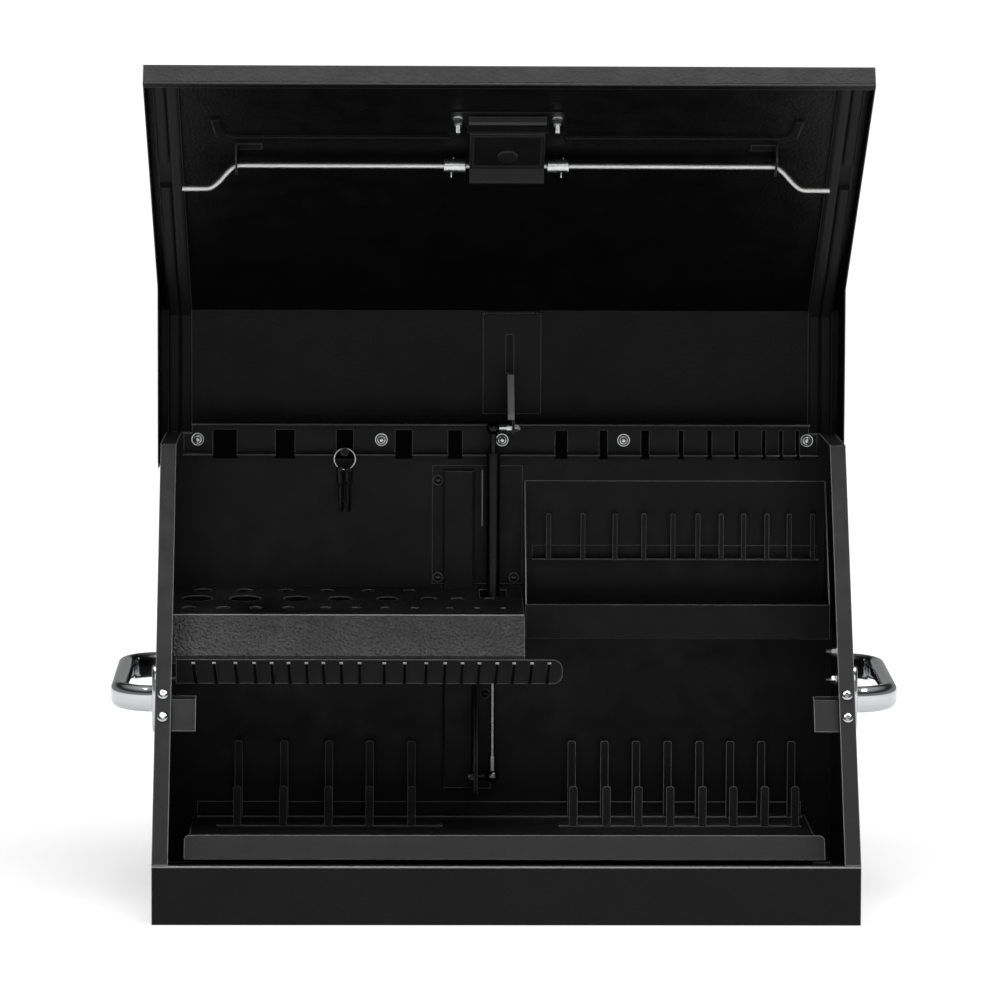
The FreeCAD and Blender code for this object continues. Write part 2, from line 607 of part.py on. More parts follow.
def make_front_panel():
    panel = Piece("front_panel")
    panel.add("X", "-half_width", "case_width", box("front_y", "front_y + sheet", "0", "lip_height"))
    fold = [("front_y + sheet", "lip_height"), ("front_y + lip_fold", "lip_height"),
            ("front_y + lip_fold", "lip_height - lip_hem"),
            ("front_y + lip_fold - sheet", "lip_height - lip_hem"),
            ("front_y + lip_fold - sheet", "lip_height - sheet"),
            ("front_y + sheet", "lip_height - sheet")]
    panel.add("X", "-inner_x", "2 * inner_x", fold)
    panel.round("X", "bend", ("front_y", "lip_height"), ("front_y + lip_fold", "lip_height"))


def make_side(name, side):
    wall = Piece(f"case_side_{name}")
    edge_low = ("front_y + sheet", "lip_height + sheet * tan(slope_angle)")
    edge_top = ("slope_top", "case_height")
    edge_back = ("inner_back", "case_height")
    start, length = mirrored(side, "inner_x", "half_width")
    wall.add("X", start, length,
             [("front_y + sheet", "0"), ("inner_back", "0"), edge_back, edge_top, edge_low])
    inside = [("inner_back", "case_height - sheet"),
              ("slope_top + sheet * tan(slope_angle / 2)", "case_height - sheet"),
              ("front_y + sheet / sin(slope_angle)", "lip_height"),
              ("front_y + sheet", "lip_height")]
    start, length = mirrored(side, "half_width - flange_width", "half_width")
    wall.add("X", start, length, [edge_low, edge_top, edge_back] + inside)
    wall.round("X", "bend", edge_top)


def make_back():
    wall = Piece("case_back")
    wall.add("Y", "inner_back", "sheet", box("-half_width", "half_width", "0", "case_height"))
    wall.add("X", "-inner_x", "2 * inner_x",
             box("inner_back - back_fold", "inner_back", "sheet", "2 * sheet"))


# Lid: shell, rails, seals and stiffeners

def make_lid_panel():
    lid = Piece("lid_panel", "lid")
    hinge_edge = "hinge_z + leaf_relief"
    outside = [("rear_y + sheet", hinge_edge), ("rear_y + sheet", "panel_z + sheet"),
               lid_corner("-sheet"), lid_point("lid_slope + sheet", "-sheet"),
               lid_point("lid_slope + sheet", "lid_lip - sheet"),
               lid_point("lid_slope - lid_hem", "lid_lip - sheet")]
    inside = [lid_point("lid_slope - lid_hem", "lid_lip - 2 * sheet"),
              lid_point("lid_slope", "lid_lip - 2 * sheet"),
              lid_point("lid_slope", "0"), lid_corner("0"), ("rear_y", "panel_z"), ("rear_y", hinge_edge)]
    lid.add("X", "-lid_half + sheet", "2 * (lid_half - sheet)", outside + inside)
    skirt_edge = "panel_z - skirt_drop"
    skirt_deep = "lid_lip - sheet"
    kink = f"(skirt_drop - ({skirt_deep}) * cos(slope_angle)) / sin(slope_angle)"
    skirt = [("rear_y + sheet", "panel_z + sheet"), lid_corner("-sheet"),
             lid_point("lid_slope + sheet", "-sheet"), lid_point("lid_slope + sheet", skirt_deep),
             lid_point(kink, skirt_deep), ("rear_y + sheet - skirt_chamfer", skirt_edge),
             ("rear_y + sheet", f"{skirt_edge} + skirt_chamfer")]
    for name, side in SIDES:
        start, length = mirrored(side, "lid_half - sheet", "lid_half")
        lid.add("X", start, length, skirt)
    outer = "-sheet - cut_margin"
    window = [lid_point("pan_near + pan_wall", outer), lid_point("pan_far - pan_wall", outer),
              lid_point("pan_far - pan_wall", "cut_margin"), lid_point("pan_near + pan_wall", "cut_margin")]
    lid.cut("X", "-window_half", "2 * window_half", window)
    lid.round("X", "bend", lid_corner("-sheet"), ("rear_y + sheet", "panel_z + sheet"),
              lid_point("lid_slope + sheet", "-sheet"), lid_point("lid_slope + sheet", skirt_deep))
    lid.round("X", "bend - sheet", lid_corner("0"), ("rear_y", "panel_z"), lid_point("lid_slope", "0"))


def lid_band(deep_start, deep_end, along_end):
    """A band that follows the lid's two panels between two depths."""
    rear = "back_y - rail_rear_gap"
    return [lid_point(along_end, deep_start), lid_corner(deep_start), (rear, f"panel_z - ({deep_start})"),
            (rear, f"panel_z - ({deep_end})"), lid_corner(deep_end), lid_point(along_end, deep_end)]


def make_rail(name, side):
    rail = Piece(f"lid_rail_{name}", "lid")
    start, length = mirrored(side, "half_width - rail_inset", "half_width - rail_inset + rail_width")
    rail.add("X", start, length, lid_band("0", "rail_height", "lid_slope - rail_end_gap"))
    rail.round("X", "bend - sheet", lid_corner("0"))


def make_seal(name, side):
    seal = Piece(f"lid_seal_{name}", "lid")
    end = "lid_slope - rail_end_gap - seal_margin"
    inner = "half_width - rail_inset + seal_margin"
    outer = "half_width - rail_inset + rail_width - seal_margin"
    middle = f"(({inner}) + ({outer})) / 2"
    top = "lid_gap - seal_clearance"
    start, length = mirrored(side, inner, outer)
    seal.add("X", start, length, lid_band("rail_height", "rail_height + seal_base", end))
    for low, high in ((inner, f"{middle} - seal_groove / 2"), (f"{middle} + seal_groove / 2", outer)):
        start, length = mirrored(side, low, high)
        seal.add("X", start, length, lid_band("rail_height + seal_base", top, end))
    reach = "(screw_spread / 2 + 2 * screw_head)"
    gap = [lid_point(f"catch_along - {reach}", "rail_height + seal_base"),
           lid_point(f"catch_along + {reach}", "rail_height + seal_base"),
           lid_point(f"catch_along + {reach}", "lid_gap"),
           lid_point(f"catch_along - {reach}", "lid_gap")]
    start, length = mirrored(side, f"{middle} + seal_groove / 2", "half_width")
    seal.cut("X", start, length, gap)
    deepest = value(top)
    corner_y, corner_z = (value(part) for part in lid_corner(top))
    angle = math.radians(value("slope_angle"))

    def on_bead(edge):
        """Whether an edge is one of the beads' long top edges."""
        if not isinstance(edge.Curve, Part.Line):
            return False
        points = [vertex.Point for vertex in edge.Vertexes]
        if abs(points[0].x - points[1].x) > 0.01:
            return False
        on_top = all(abs(point.z - (value("panel_z") - deepest)) < 0.01 for point in points)
        on_slope = all(abs((point.y - corner_y) * math.sin(angle) - (point.z - corner_z) * math.cos(angle))
                       < 0.01 for point in points)
        return on_top or on_slope

    seal.fillet("(lid_gap - seal_clearance - rail_height - seal_base) / 2", on_bead)


def make_stiffener(name, side):
    bar = Piece(f"lid_stiffener_{name}", "lid_slope")
    inner = "bracket_foot_half + stiffener_gap"
    outline = [(inner, "stiffener_along"), ("stiffener_end", "stiffener_along"),
               ("stiffener_end + stiffener_turn", "stiffener_along + stiffener_width"),
               ("stiffener_end + stiffener_turn + stiffener_width / 2", "stiffener_along + stiffener_tail"),
               ("stiffener_end + stiffener_turn - stiffener_width / 2", "stiffener_along + stiffener_tail"),
               ("stiffener_end + stiffener_width / 2", "stiffener_along + 3 / 2 * stiffener_width"),
               ("stiffener_end - stiffener_width / 2", "stiffener_along + stiffener_width"),
               (inner, "stiffener_along + stiffener_width")]
    if side < 0:
        outline = [(f"-({a})", b) for a, b in outline]
    bar.add("Z", "0", "stiffener_thick", outline)
    level = value("stiffener_thick")
    bar.fillet("stiffener_round", lambda edge: all(abs(v.Z - level) < 0.01 for v in edge.Vertexes))


# Hinge: two leaves with interleaved knuckles, and the pin

def add_knuckles(leaf, start, tab):
    """Give a leaf its row of knuckles, each tied to it by a tab, and the bore."""
    length = "knuckle_pitch / 2 - knuckle_gap"
    originals = []
    for loop in (disc("hinge_y", "hinge_z", "knuckle_radius"), tab):
        originals.append(leaf.feature("PartDesign::Pad", "X", start, length, [loop]))
    doc.recompute()
    row = leaf.body.newObject("PartDesign::LinearPattern", "Knuckles")
    row.Originals = originals
    axis = next(item for item in leaf.body.Origin.OriginFeatures if item.Role == "X_Axis")
    row.Direction = (axis, [""])
    row.Mode = "Spacing"
    row.setExpression("Offset", bound("knuckle_pitch"))
    row.setExpression("Occurrences", bound("knuckle_pairs"))
    leaf.body.Tip = row
    half = "knuckle_pitch * knuckle_pairs / 2"
    leaf.cut_through("X", f"-{half}", f"2 * {half}",
                     disc("hinge_y", "hinge_z", "hinge_pin_radius + hinge_pin_play"))


def make_hinge():
    half = "knuckle_pitch * knuckle_pairs / 2"
    case_leaf = Piece("hinge_leaf_case")
    case_leaf.add("X", f"-{half}", f"2 * {half}",
                  box("back_y", "back_y + leaf_thickness", "hinge_z - leaf_height", "hinge_z - leaf_relief"))
    tab = [("back_y", "hinge_z - leaf_relief"), ("back_y + leaf_thickness", "hinge_z - leaf_relief"),
           ("hinge_y", "hinge_z - knuckle_radius"), ("hinge_y", "hinge_z"), ("back_y", "hinge_z")]
    add_knuckles(case_leaf, f"-{half}", tab)
    lid_leaf = Piece("hinge_leaf_lid", "lid")
    lid_leaf.add("X", f"-{half}", f"2 * {half}",
                 box("rear_y - leaf_thickness", "rear_y", "hinge_z + leaf_relief", "hinge_z + leaf_height"))
    tab = box("rear_y - leaf_thickness", "rear_y", "hinge_z", "hinge_z + leaf_relief")
    add_knuckles(lid_leaf, f"-{half} + knuckle_pitch / 2", tab)
    pin = Piece("hinge_pin")
    pin.add("X", f"-{half}", f"2 * {half} - knuckle_gap", disc("hinge_y", "hinge_z", "hinge_pin_radius"))


# Latch on the lid: plate, pan, paddle, lock, cross shaft, rods and guides

def make_latch_pan():
    pan = Piece("latch_housing", "lid")
    outline = [lid_point("pan_far", "0"), lid_point("pan_far", "pan_rise"),
               lid_point("pan_knee", "pan_knee_rise"), lid_point("pan_bump", "pan_depth"),
               lid_point("(pan_bump + pan_near) / 2", "pan_depth"), lid_point("pan_near", "0")]
    pan.add("X", "-pan_half", "2 * pan_half", outline)
    hollow = [lid_point("pan_far - pan_wall", "-cut_margin"),
              lid_point("pan_far - pan_wall", "pan_rise - pan_wall"),
              lid_point("pan_knee", "pan_knee_rise - pan_wall"),
              lid_point("pan_knee - pan_wall", "pan_knee_rise - pan_wall"),
              lid_point("pan_knee - pan_wall", "-cut_margin")]
    pan.cut("X", "-pan_half + pan_wall", "2 * (pan_half - pan_wall)", hollow)
    pivot = lid_point("pivot_along", "paddle_pivot_deep")
    pan.cut_through("X", "-pan_half", "2 * pan_half", disc(*pivot, "paddle_pin_radius + paddle_pin_play"))
    pan.round("X", "bend", lid_point("pan_far", "pan_rise"), lid_point("pan_bump", "pan_depth"))


def make_latch_plate():
    plate = Piece("latch_plate", "lid_slope")
    low, high = "pan_near - latch_plate_margin", "pan_far + latch_plate_margin"
    top = "-sheet - latch_plate_thick"
    plate.add("Z", top, "latch_plate_thick", box("-latch_plate_half", "latch_plate_half", low, high))
    plate.cut_through("Z", top, "latch_plate_thick",
                      box("-window_half", "window_half", "pan_knee - pan_wall", "pan_far - pan_wall"))
    plate.round("Z", "2 * bend", ("-latch_plate_half", low), ("latch_plate_half", low),
                ("-latch_plate_half", high), ("latch_plate_half", high))


def make_paddle():
    paddle = Piece("latch_paddle", "lid_slope")
    low = "pivot_along - paddle_barrel"
    paddle.add("Z", "-sheet", "paddle_thick",
               box("-paddle_half", "paddle_half", low, f"{low} + paddle_length"))
    paddle.add("X", "-paddle_half", "2 * paddle_half",
               disc("pivot_along", "paddle_pivot_deep", "paddle_barrel"))
    paddle.add("X", "-paddle_half", "2 * paddle_half",
               box("pivot_along - paddle_barrel / 2", "pivot_along + paddle_barrel / 2",
                   "0", "paddle_pivot_deep"))
    paddle.add("X", "-pan_half", "2 * pan_half",
               disc("pivot_along", "paddle_pivot_deep", "paddle_pin_radius"))
    paddle.cut_through("Z", "-sheet", "paddle_thick",
                       disc("0", "pivot_along + lock_along", "lock_radius + lock_play"))
    end = f"{low} + paddle_length"
    paddle.round("Z", "bend", ("-paddle_half", end), ("paddle_half", end))


def make_lock():
    lock = Piece("lock_cylinder", "lid_slope")
    top = "-sheet - lock_proud"
    centre = ("0", "pivot_along + lock_along")
    lock.add("Z", top, "lock_proud + lock_depth", disc(*centre, "lock_radius"))
    lock.cut("Z", f"{top} - cut_margin", "cut_margin + keyway_depth",
             box("-keyway_width / 2", "keyway_width / 2",
                 f"{centre[1]} - keyway_length / 2", f"{centre[1]} + keyway_length / 2"))
    lock.round_rims("Z", top, "lock_round")


def make_bracket():
    bracket = Piece("latch_bracket", "lid_slope")
    wall_start = "pan_far + bracket_gap"
    bracket.add("Y", wall_start, "bracket_thick", box("-bracket_half", "bracket_half", "0", "bracket_rise"))
    bracket.add("Z", "0", "bracket_thick",
                box("-bracket_foot_half", "bracket_foot_half", wall_start, f"{wall_start} + bracket_foot"))
    for name, side in SIDES:
        inner, outer = f"{side} * bracket_half", f"{side} * bracket_foot_half"
        low, high = (outer, inner) if side < 0 else (inner, outer)
        bracket.add("Z", "0", "bracket_thick", box(low, high, f"{wall_start} - bracket_ear", wall_start))
    bracket.round("Z", "bend", *[(f"{side} * bracket_foot_half", f"{wall_start} + bracket_foot")
                                 for name, side in SIDES])


def make_latch_studs():
    studs = Piece("latch_studs", "lid_slope")
    along = "pan_far"
    places = [(f"{side} * latch_stud_x", along) for name, side in SIDES]
    studs.add("Z", "bracket_thick", "latch_stud_rise - bracket_thick",
              *[disc(*place, "latch_stud_radius") for place in places])
    studs.add("Z", "bracket_thick", "nut_height", *[hexagon(*place, "small_nut_flats") for place in places])
    studs.round_rims("Z", "latch_stud_rise", "latch_stud_round")


def make_shaft():
    shaft = Piece("latch_shaft", "rods")
    shaft.add("X", "-rod_start", "2 * rod_start", disc("0", "0", "rod_radius"))


def make_rod(name, side):
    """A round rod with a cranked end, swept along its middle line."""
    rod = Piece(f"latch_rod_{name}", "rods")
    start, bend = value("rod_start"), value("rod_bend")
    corners = [Vector(side * x, y, 0) for x, y in (
        (start, 0), (bend, 0), (bend + value("rod_bend_run"), value("rod_crank")),
        (value("rod_tip"), value("rod_crank")))]
    sweep(rod, corners, value("rod_bend_radius"), disc("0", "0", "rod_radius"), f"{side} * rod_start")


def sweep(piece, corners, radius, section, level):
    """Sweep a section, square to X, along rounded corners in the piece's XY plane."""
    path = piece.sketch("Z", "0")
    edges = rounded_path(corners, radius)
    for edge, backwards in edges:
        path.addGeometry(edge)
    for place in range(len(edges) - 1):
        end = 1 if edges[place][1] else 2
        begin = 2 if edges[place + 1][1] else 1
        path.addConstraint(Sketcher.Constraint("Coincident", place, end, place + 1, begin))
    profile = piece.sketch("X", level)
    piece.draw(profile, section)
    doc.recompute()
    pipe = piece.body.newObject("PartDesign::AdditivePipe", "Pipe")
    pipe.Profile = profile
    pipe.Spine = path
    doc.recompute()


def rounded_path(corners, radius):
    """Lines and arcs through some corners, each with whether it is drawn against the path."""
    edges = []
    begin = corners[0]
    for before, corner, after in zip(corners, corners[1:], corners[2:]):
        incoming = (corner - before).normalize()
        outgoing = (after - corner).normalize()
        turn = incoming.getAngle(outgoing)
        setback = radius * math.tan(turn / 2)
        arc_start = corner - incoming * setback
        arc_end = corner + outgoing * setback
        edges.append((Part.LineSegment(begin, arc_start), False))
        bisector = (outgoing - incoming).normalize()
        centre = corner + bisector * (radius / math.cos(turn / 2))
        left_turn = incoming.cross(outgoing).z > 0
        first, last = (arc_start, arc_end) if left_turn else (arc_end, arc_start)
        angles = [math.atan2(point.y - centre.y, point.x - centre.x) for point in (first, last)]
        if angles[1] < angles[0]:
            angles[1] += 2 * math.pi
        arc = Part.ArcOfCircle(Part.Circle(centre, Vector(0, 0, 1), radius), *angles)
        edges.append((arc, not left_turn))
        begin = arc_end
    edges.append((Part.LineSegment(begin, corners[-1]), False))
    return edges


def make_couplers():
    couplers = Piece("rod_couplers", "rods")
    for name, side in SIDES:
        start, length = mirrored(side, "coupler_start", "coupler_start + coupler_length")
        couplers.add("X", start, length, disc("0", "0", "coupler_radius"))
    couplers.cut("X", "-rod_bend", "2 * rod_bend", disc("0", "0", "rod_radius"))
    for name, side in SIDES:
        for end in ("coupler_start", "coupler_start + coupler_length"):
            couplers.round_rims("X", f"{side} * ({end})", "coupler_round")


def make_cotters():
    cotters = Piece("cotter_pins", "rods")
    places = [(f"{side} * cotter_x", "0") for name, side in SIDES]
    face = "coupler_radius + cotter_gap"
    cotters.add("Z", face, "cotter_head", *[disc(*place, "cotter_head") for place in places])
    wires = [disc(x, f"{face} + cotter_head / 2", "cotter_radius") for x, y in places]
    cotters.add("Y", "-cotter_head", f"cotter_head + cotter_gap + cotter_length", *wires)


def make_guide(name, side):
    guide = Piece(f"rod_guide_{name}", "lid_slope")
    start, length = mirrored(side, "guide_x", "guide_x + guide_thick")
    low, high = "rod_along - guide_length / 4", "rod_along + 3 * guide_length / 4"
    guide.add("X", start, length, box(low, high, "0", "guide_reach"))
    start, length = mirrored(side, "guide_x - guide_foot", "guide_x")
    guide.add("X", start, length, box(f"{high} - guide_foot_width", high, "0", "guide_thick"))
    start, length = mirrored(side, "guide_x", "guide_x + guide_thick")
    guide.cut_through("X", start, length, disc("rod_along", "rod_deep", "rod_radius + guide_play"))
    guide.round("X", "bend", (low, "guide_reach"), (high, "guide_reach"))


# Gas strut between lid and case

def make_lid_plate():
    plate = Piece("lid_plate", "lid")
    start = "fold_y + lid_plate_start"
    level = "panel_z - lid_plate_thick"
    plate.add("Z", level, "lid_plate_thick",
              box("-lid_plate_left", "lid_plate_right", start, f"{start} + lid_plate_length"))
    slot = "fold_y + lid_slot_start"
    plate.cut_through("Z", level, "lid_plate_thick",
                      box("lid_slot_x - lid_slot_width / 2", "lid_slot_x + lid_slot_width / 2",
                          slot, f"{slot} + lid_slot_length"))


def make_tab():
    tab = Piece("strut_tab", "lid")
    front, foot = "ball_y - tab_head", "ball_z - tab_head"
    clear_y = "inner_back - rack_depth - tab_rack_gap"
    clear_z = "hinge_z + rack_sweep + tab_rack_gap"
    panel = "hinge_y + panel_z - hinge_z - lid_plate_thick"
    top = f"{clear_z} + tab_height"
    nose = f"{foot} + tab_nose"
    root = f"{panel} - tab_root"
    outline = [(panel, top), (panel, clear_z), (clear_y, clear_z), (clear_y, foot), (front, foot),
               (front, nose), (root, top)]
    tab.add("X", "tab_x", "tab_thick", [on_lid(*point) for point in outline])
    flange = [(front, f"{foot} + 2 * tab_head"), (front, nose), (root, top),
              (f"{root} + tab_thick", top), (f"{front} + tab_thick", f"{nose} - tab_thick / 2"),
              (f"{front} + tab_thick", f"{foot} + 2 * tab_head")]
    tab.add("X", "tab_x + tab_thick - tab_flange", "tab_flange", [on_lid(*point) for point in flange])
    tab.round("X", "tab_round", on_lid(front, foot))
    tab.cut_through("X", "tab_x", "tab_thick", disc(*on_lid("ball_y", "ball_z"), "stud_neck"))


def make_ball_stud():
    """Ball, neck and nut: a turned stud through the lid tab."""
    centre = on_lid("ball_y", "ball_z")
    stud = Piece("strut_ball_stud", "lid")
    stud.add("X", "strut_x", "tab_x + tab_thick + nut_height + thread_end - strut_x",
             disc(*centre, "stud_neck"))
    stud.add("X", "tab_x + tab_thick", "nut_height", hexagon(*centre, "nut_flats"))
    profile = stud.sketch("Z", centre[1])
    reach = value("ball_radius")
    middle = Vector(value("strut_x"), value(centre[0]), 0)
    profile.addGeometry(Part.ArcOfCircle(Part.Circle(middle, Vector(0, 0, 1), reach), 0, math.pi))
    profile.addGeometry(Part.LineSegment(middle - Vector(reach, 0, 0), middle + Vector(reach, 0, 0)))
    profile.addConstraint(Sketcher.Constraint("Coincident", 0, 2, 1, 1))
    profile.addConstraint(Sketcher.Constraint("Coincident", 0, 1, 1, 2))
    stud.pin_point(profile, 0, 3, "strut_x", centre[0])
    size = profile.addConstraint(Sketcher.Constraint("Radius", 0, reach))
    profile.setExpression(f"Constraints[{size}]", bound("ball_radius"))
    profile.addConstraint(Sketcher.Constraint("Horizontal", 1))
    ball = stud.body.newObject("PartDesign::Revolution", "Ball")
    ball.Profile = profile
    ball.ReferenceAxis = (profile, ["Edge2"])
    ball.Angle = 360


def primitive(kind, name, sizes, x="0", y="0", z="0", axis=None, turn=0):
    """A Part primitive with its sizes and place bound to expressions."""
    item = doc.addObject(kind, name)
    for size, expression in sizes.items():
        item.setExpression(size, bound(expression))
    if axis:
        item.Placement = Placement(Vector(0, 0, 0), Rotation(axis, turn))
    for letter, expression in zip("xyz", (x, y, z)):
        item.setExpression(f".Placement.Base.{letter}", bound(expression))
    return item


def cylinder(name, radius, length, **place):
    """A cylinder standing on its place along Z, or turned."""
    return primitive("Part::Cylinder", name, {"Radius": radius, "Height": length}, **place)


def joined(label, pieces, frame):
    """Pieces joined into one solid, in a frame."""
    whole = doc.addObject("Part::MultiFuse", "Joined")
    whole.Shapes = pieces
    whole.Label = label
    set_frame(whole, frame)


def hollowed(label, pieces, holes, frame):
    """Pieces joined into one solid, less some holes, in a frame."""
    whole = doc.addObject("Part::MultiFuse", "Joined")
    whole.Shapes = pieces
    tools = doc.addObject("Part::MultiFuse", "Holes")
    tools.Shapes = holes
    cut = doc.addObject("Part::Cut", "Hollowed")
    cut.Base = whole
    cut.Tool = tools
    cut.Label = label
    set_frame(cut, frame)


def make_strut():
    """Cylinder with its upper socket, and the rod with piston and lower end."""
    far = "-(strut_neck_length + strut_length)"
    across = {"axis": Vector(0, 1, 0), "turn": 90}
    socket = primitive("Part::Sphere", "socket_ball", {"Radius": "socket_radius"}, x="strut_x", **across)
    neck = cylinder("strut_neck_part", "strut_neck", "strut_neck_length", x="strut_x", z="-strut_neck_length")
    barrel = cylinder("strut_barrel_part", "strut_radius", "strut_length", x="strut_x", z=far)
    cavity = primitive("Part::Sphere", "socket_cavity", {"Radius": "ball_radius + ball_play"},
                       x="strut_x", **across)
    mouth = cylinder("socket_mouth_part", "socket_mouth", "2 * socket_radius", x="strut_x", **across)
    chamber = cylinder("strut_chamber", "strut_radius - strut_wall",
                       "strut_length - 2 * strut_gland", x="strut_x", z=f"{far} + strut_gland")
    bore = cylinder("strut_bore", "strut_rod_radius + strut_play", "2 * strut_gland", x="strut_x",
                    z=f"{far} - strut_gland / 2")
    hollowed("strut_cylinder", [socket, neck, barrel], [cavity, mouth, chamber, bore], "strut")
    lower = "-strut_span"
    end = primitive("Part::Sphere", "lower_socket", {"Radius": "socket_radius"}, x="strut_x", z=lower)
    sleeve = cylinder("rod_sleeve", "strut_end_radius", "strut_end_length + socket_radius / 2", x="strut_x",
                      z=f"{lower} + socket_radius / 2")
    piston_low = f"{far} + strut_gland + piston_length / 2"
    rod = cylinder("rod_stem", "strut_rod_radius", f"{piston_low} - ({lower})", x="strut_x", z=lower)
    piston = cylinder("rod_piston", "strut_radius - strut_wall - strut_play", "piston_length",
                      x="strut_x", z=piston_low)
    joined("strut_rod", [end, sleeve, rod, piston], "strut")


def make_foot():
    """Bracket that carries the strut's lower stud."""
    foot = Piece("strut_foot")
    top = "foot_height + foot_high"
    low = "foot_height - foot_low"
    outline = [("inner_back", low), ("inner_back", top), ("inner_back - foot_nose", top),
               ("foot_y - foot_nose / 2", "foot_height + foot_nose"), ("foot_y - foot_nose / 2", low)]
    foot.add("X", "foot_x", "foot_thick", outline)
    foot.add("X", "foot_x + foot_thick", "foot_nose",
             box("inner_back - plate_thick", "inner_back", low, top))
    foot.round("X", "foot_round", ("foot_y - foot_nose / 2", low))
    stud = Piece("strut_foot_stud")
    reach = "strut_x - socket_radius - foot_gap"
    stud.add("X", "foot_x + foot_thick", f"{reach} - (foot_x + foot_thick)",
             disc("foot_y", "foot_height", "stud_shoulder"))
    stud.add("X", "foot_x - nut_height", "nut_height", hexagon("foot_y", "foot_height", "nut_flats"))
    stud.add("X", "foot_x", "foot_thick", disc("foot_y", "foot_height", "stud_neck"))
    foot.cut_through("X", "foot_x", "foot_thick", disc("foot_y", "foot_height", "stud_neck"))


def make_strut_plate():
    plate = Piece("strut_plate")
    face = "inner_back - plate_thick"
    plate.add("Y", face, "plate_thick", box("-plate_left", "plate_right", "plate_low", "plate_high"))
    fin_high = "plate_high - fin_inset"
    fin_low = f"{fin_high} - fin_height"
    plate.add("X", "fin_x - plate_thick / 2", "plate_thick",
              box(f"{face} - fin_depth", face, fin_low, fin_high))
    plate.round("X", "bend", (f"{face} - fin_depth", fin_low), (f"{face} - fin_depth", fin_high))
    channel = Piece("strut_channel")
    front = f"{face} - channel_depth"
    left, width = "-channel_left", "channel_width"
    inner_right = f"{left} + {width} - rack_sheet"
    channel.add("Z", "channel_low", "plate_high - channel_inset - channel_low",
                [(left, face), (left, front), (f"{left} + {width}", front), (f"{left} + {width}", face),
                 (inner_right, face), (inner_right, f"{front} + rack_sheet"),
                 (f"{left} + rack_sheet", f"{front} + rack_sheet"), (f"{left} + rack_sheet", face)])
    channel.round("Z", "bend", (left, front), (f"{left} + {width}", front))


def make_plate_bolts():
    bolts = Piece("plate_bolts")
    face = "inner_back - plate_thick"
    places = [("-plate_left + plate_bolt_inset", "plate_high - plate_bolt_drop"),
              ("-plate_left + plate_bolt_inset", "plate_low + plate_bolt_rise"),
              ("plate_right - plate_bolt_right", "plate_low + plate_bolt_rise"),
              ("foot_x + foot_thick + foot_bolt_side", "foot_height + foot_high - foot_bolt_drop")]
    bolts.add("Y", f"{face} - washer_thick", "washer_thick",
              *[disc(*place, "small_washer_radius") for place in places])
    bolts.add("Y", f"{face} - washer_thick - small_nut_height", "small_nut_height",
              *[hexagon(*place, "small_nut_flats") for place in places])


# Racks on the back wall

def make_wrench_rack():
    rack = Piece("wrench_rack")
    front = "inner_back - rack_depth"
    section = [("inner_back", "rack_low"), ("inner_back", "rack_top"), (front, "rack_top"),
               (front, "rack_top - rack_sheet"), ("inner_back - rack_sheet", "rack_top - rack_sheet"),
               ("inner_back - rack_sheet", "rack_low + rack_sheet"), (front, "rack_low + rack_sheet"),
               (front, "rack_low")]
    rack.add("X", "-rack_half", "2 * rack_half", section)
    rack.round("X", "rack_bend", ("inner_back", "rack_top"), ("inner_back", "rack_low"))
    slots = [box(f"{middle} - {width} / 2", f"{middle} + {width} / 2",
                 "rack_low - cut_margin", "rack_top - rack_bridge")
             for middle, width in zip(row_names("rack_slot"), row_names("rack_slot_width"))]
    end = "half_width - rail_inset - rack_end_gap"
    high, past = "rack_top + cut_margin", "rack_half + cut_margin"
    corners = [box(f"-({past})", f"-({end})", "rack_top - rack_end_drop", high),
               box(end, past, "rack_top - rack_end_drop", high)]
    rack.cut_through("Y", front, "rack_depth", *slots, *corners)
    bolts = Piece("rack_bolts")
    face = "inner_back - rack_sheet"
    places = [(x, "rack_top - rack_bolt_drop") for x in row_names("rack_bolt")]
    bolts.add("Y", f"{face} - washer_thick", "washer_thick",
              *[disc(*place, "washer_radius") for place in places])
    bolts.add("Y", f"{face} - washer_thick - nut_height", "nut_height",
              *[hexagon(*place, "nut_flats") for place in places])
    bolts.add("Y", f"{face} - washer_thick - nut_height - thread_end", "thread_end",
              *[disc(*place, "bolt_radius") for place in places])


def finger_loops(row, width, low, high):
    """Upright fingers as rectangles in X and Z."""
    return [box(f"{x} - {width} / 2", f"{x} + {width} / 2", low, high) for x in row_names(row)]


def round_fingers(piece, row, width, top, radius):
    """Round the fingers' top corners."""
    half = value(width) / 2
    places = [value(x) + sign * half for x in row_names(row) for sign in (-1, 1)]
    height = value(top)

    def wanted(edge):
        if not isinstance(edge.Curve, Part.Line):
            return False
        start, end = edge.Vertexes[0].Point, edge.Vertexes[-1].Point
        upright = abs(start.x - end.x) < 0.01 and abs(start.z - end.z) < 0.01
        return upright and abs(start.z - height) < 0.01 and any(abs(start.x - x) < 0.01 for x in places)

    piece.fillet(radius, wanted)


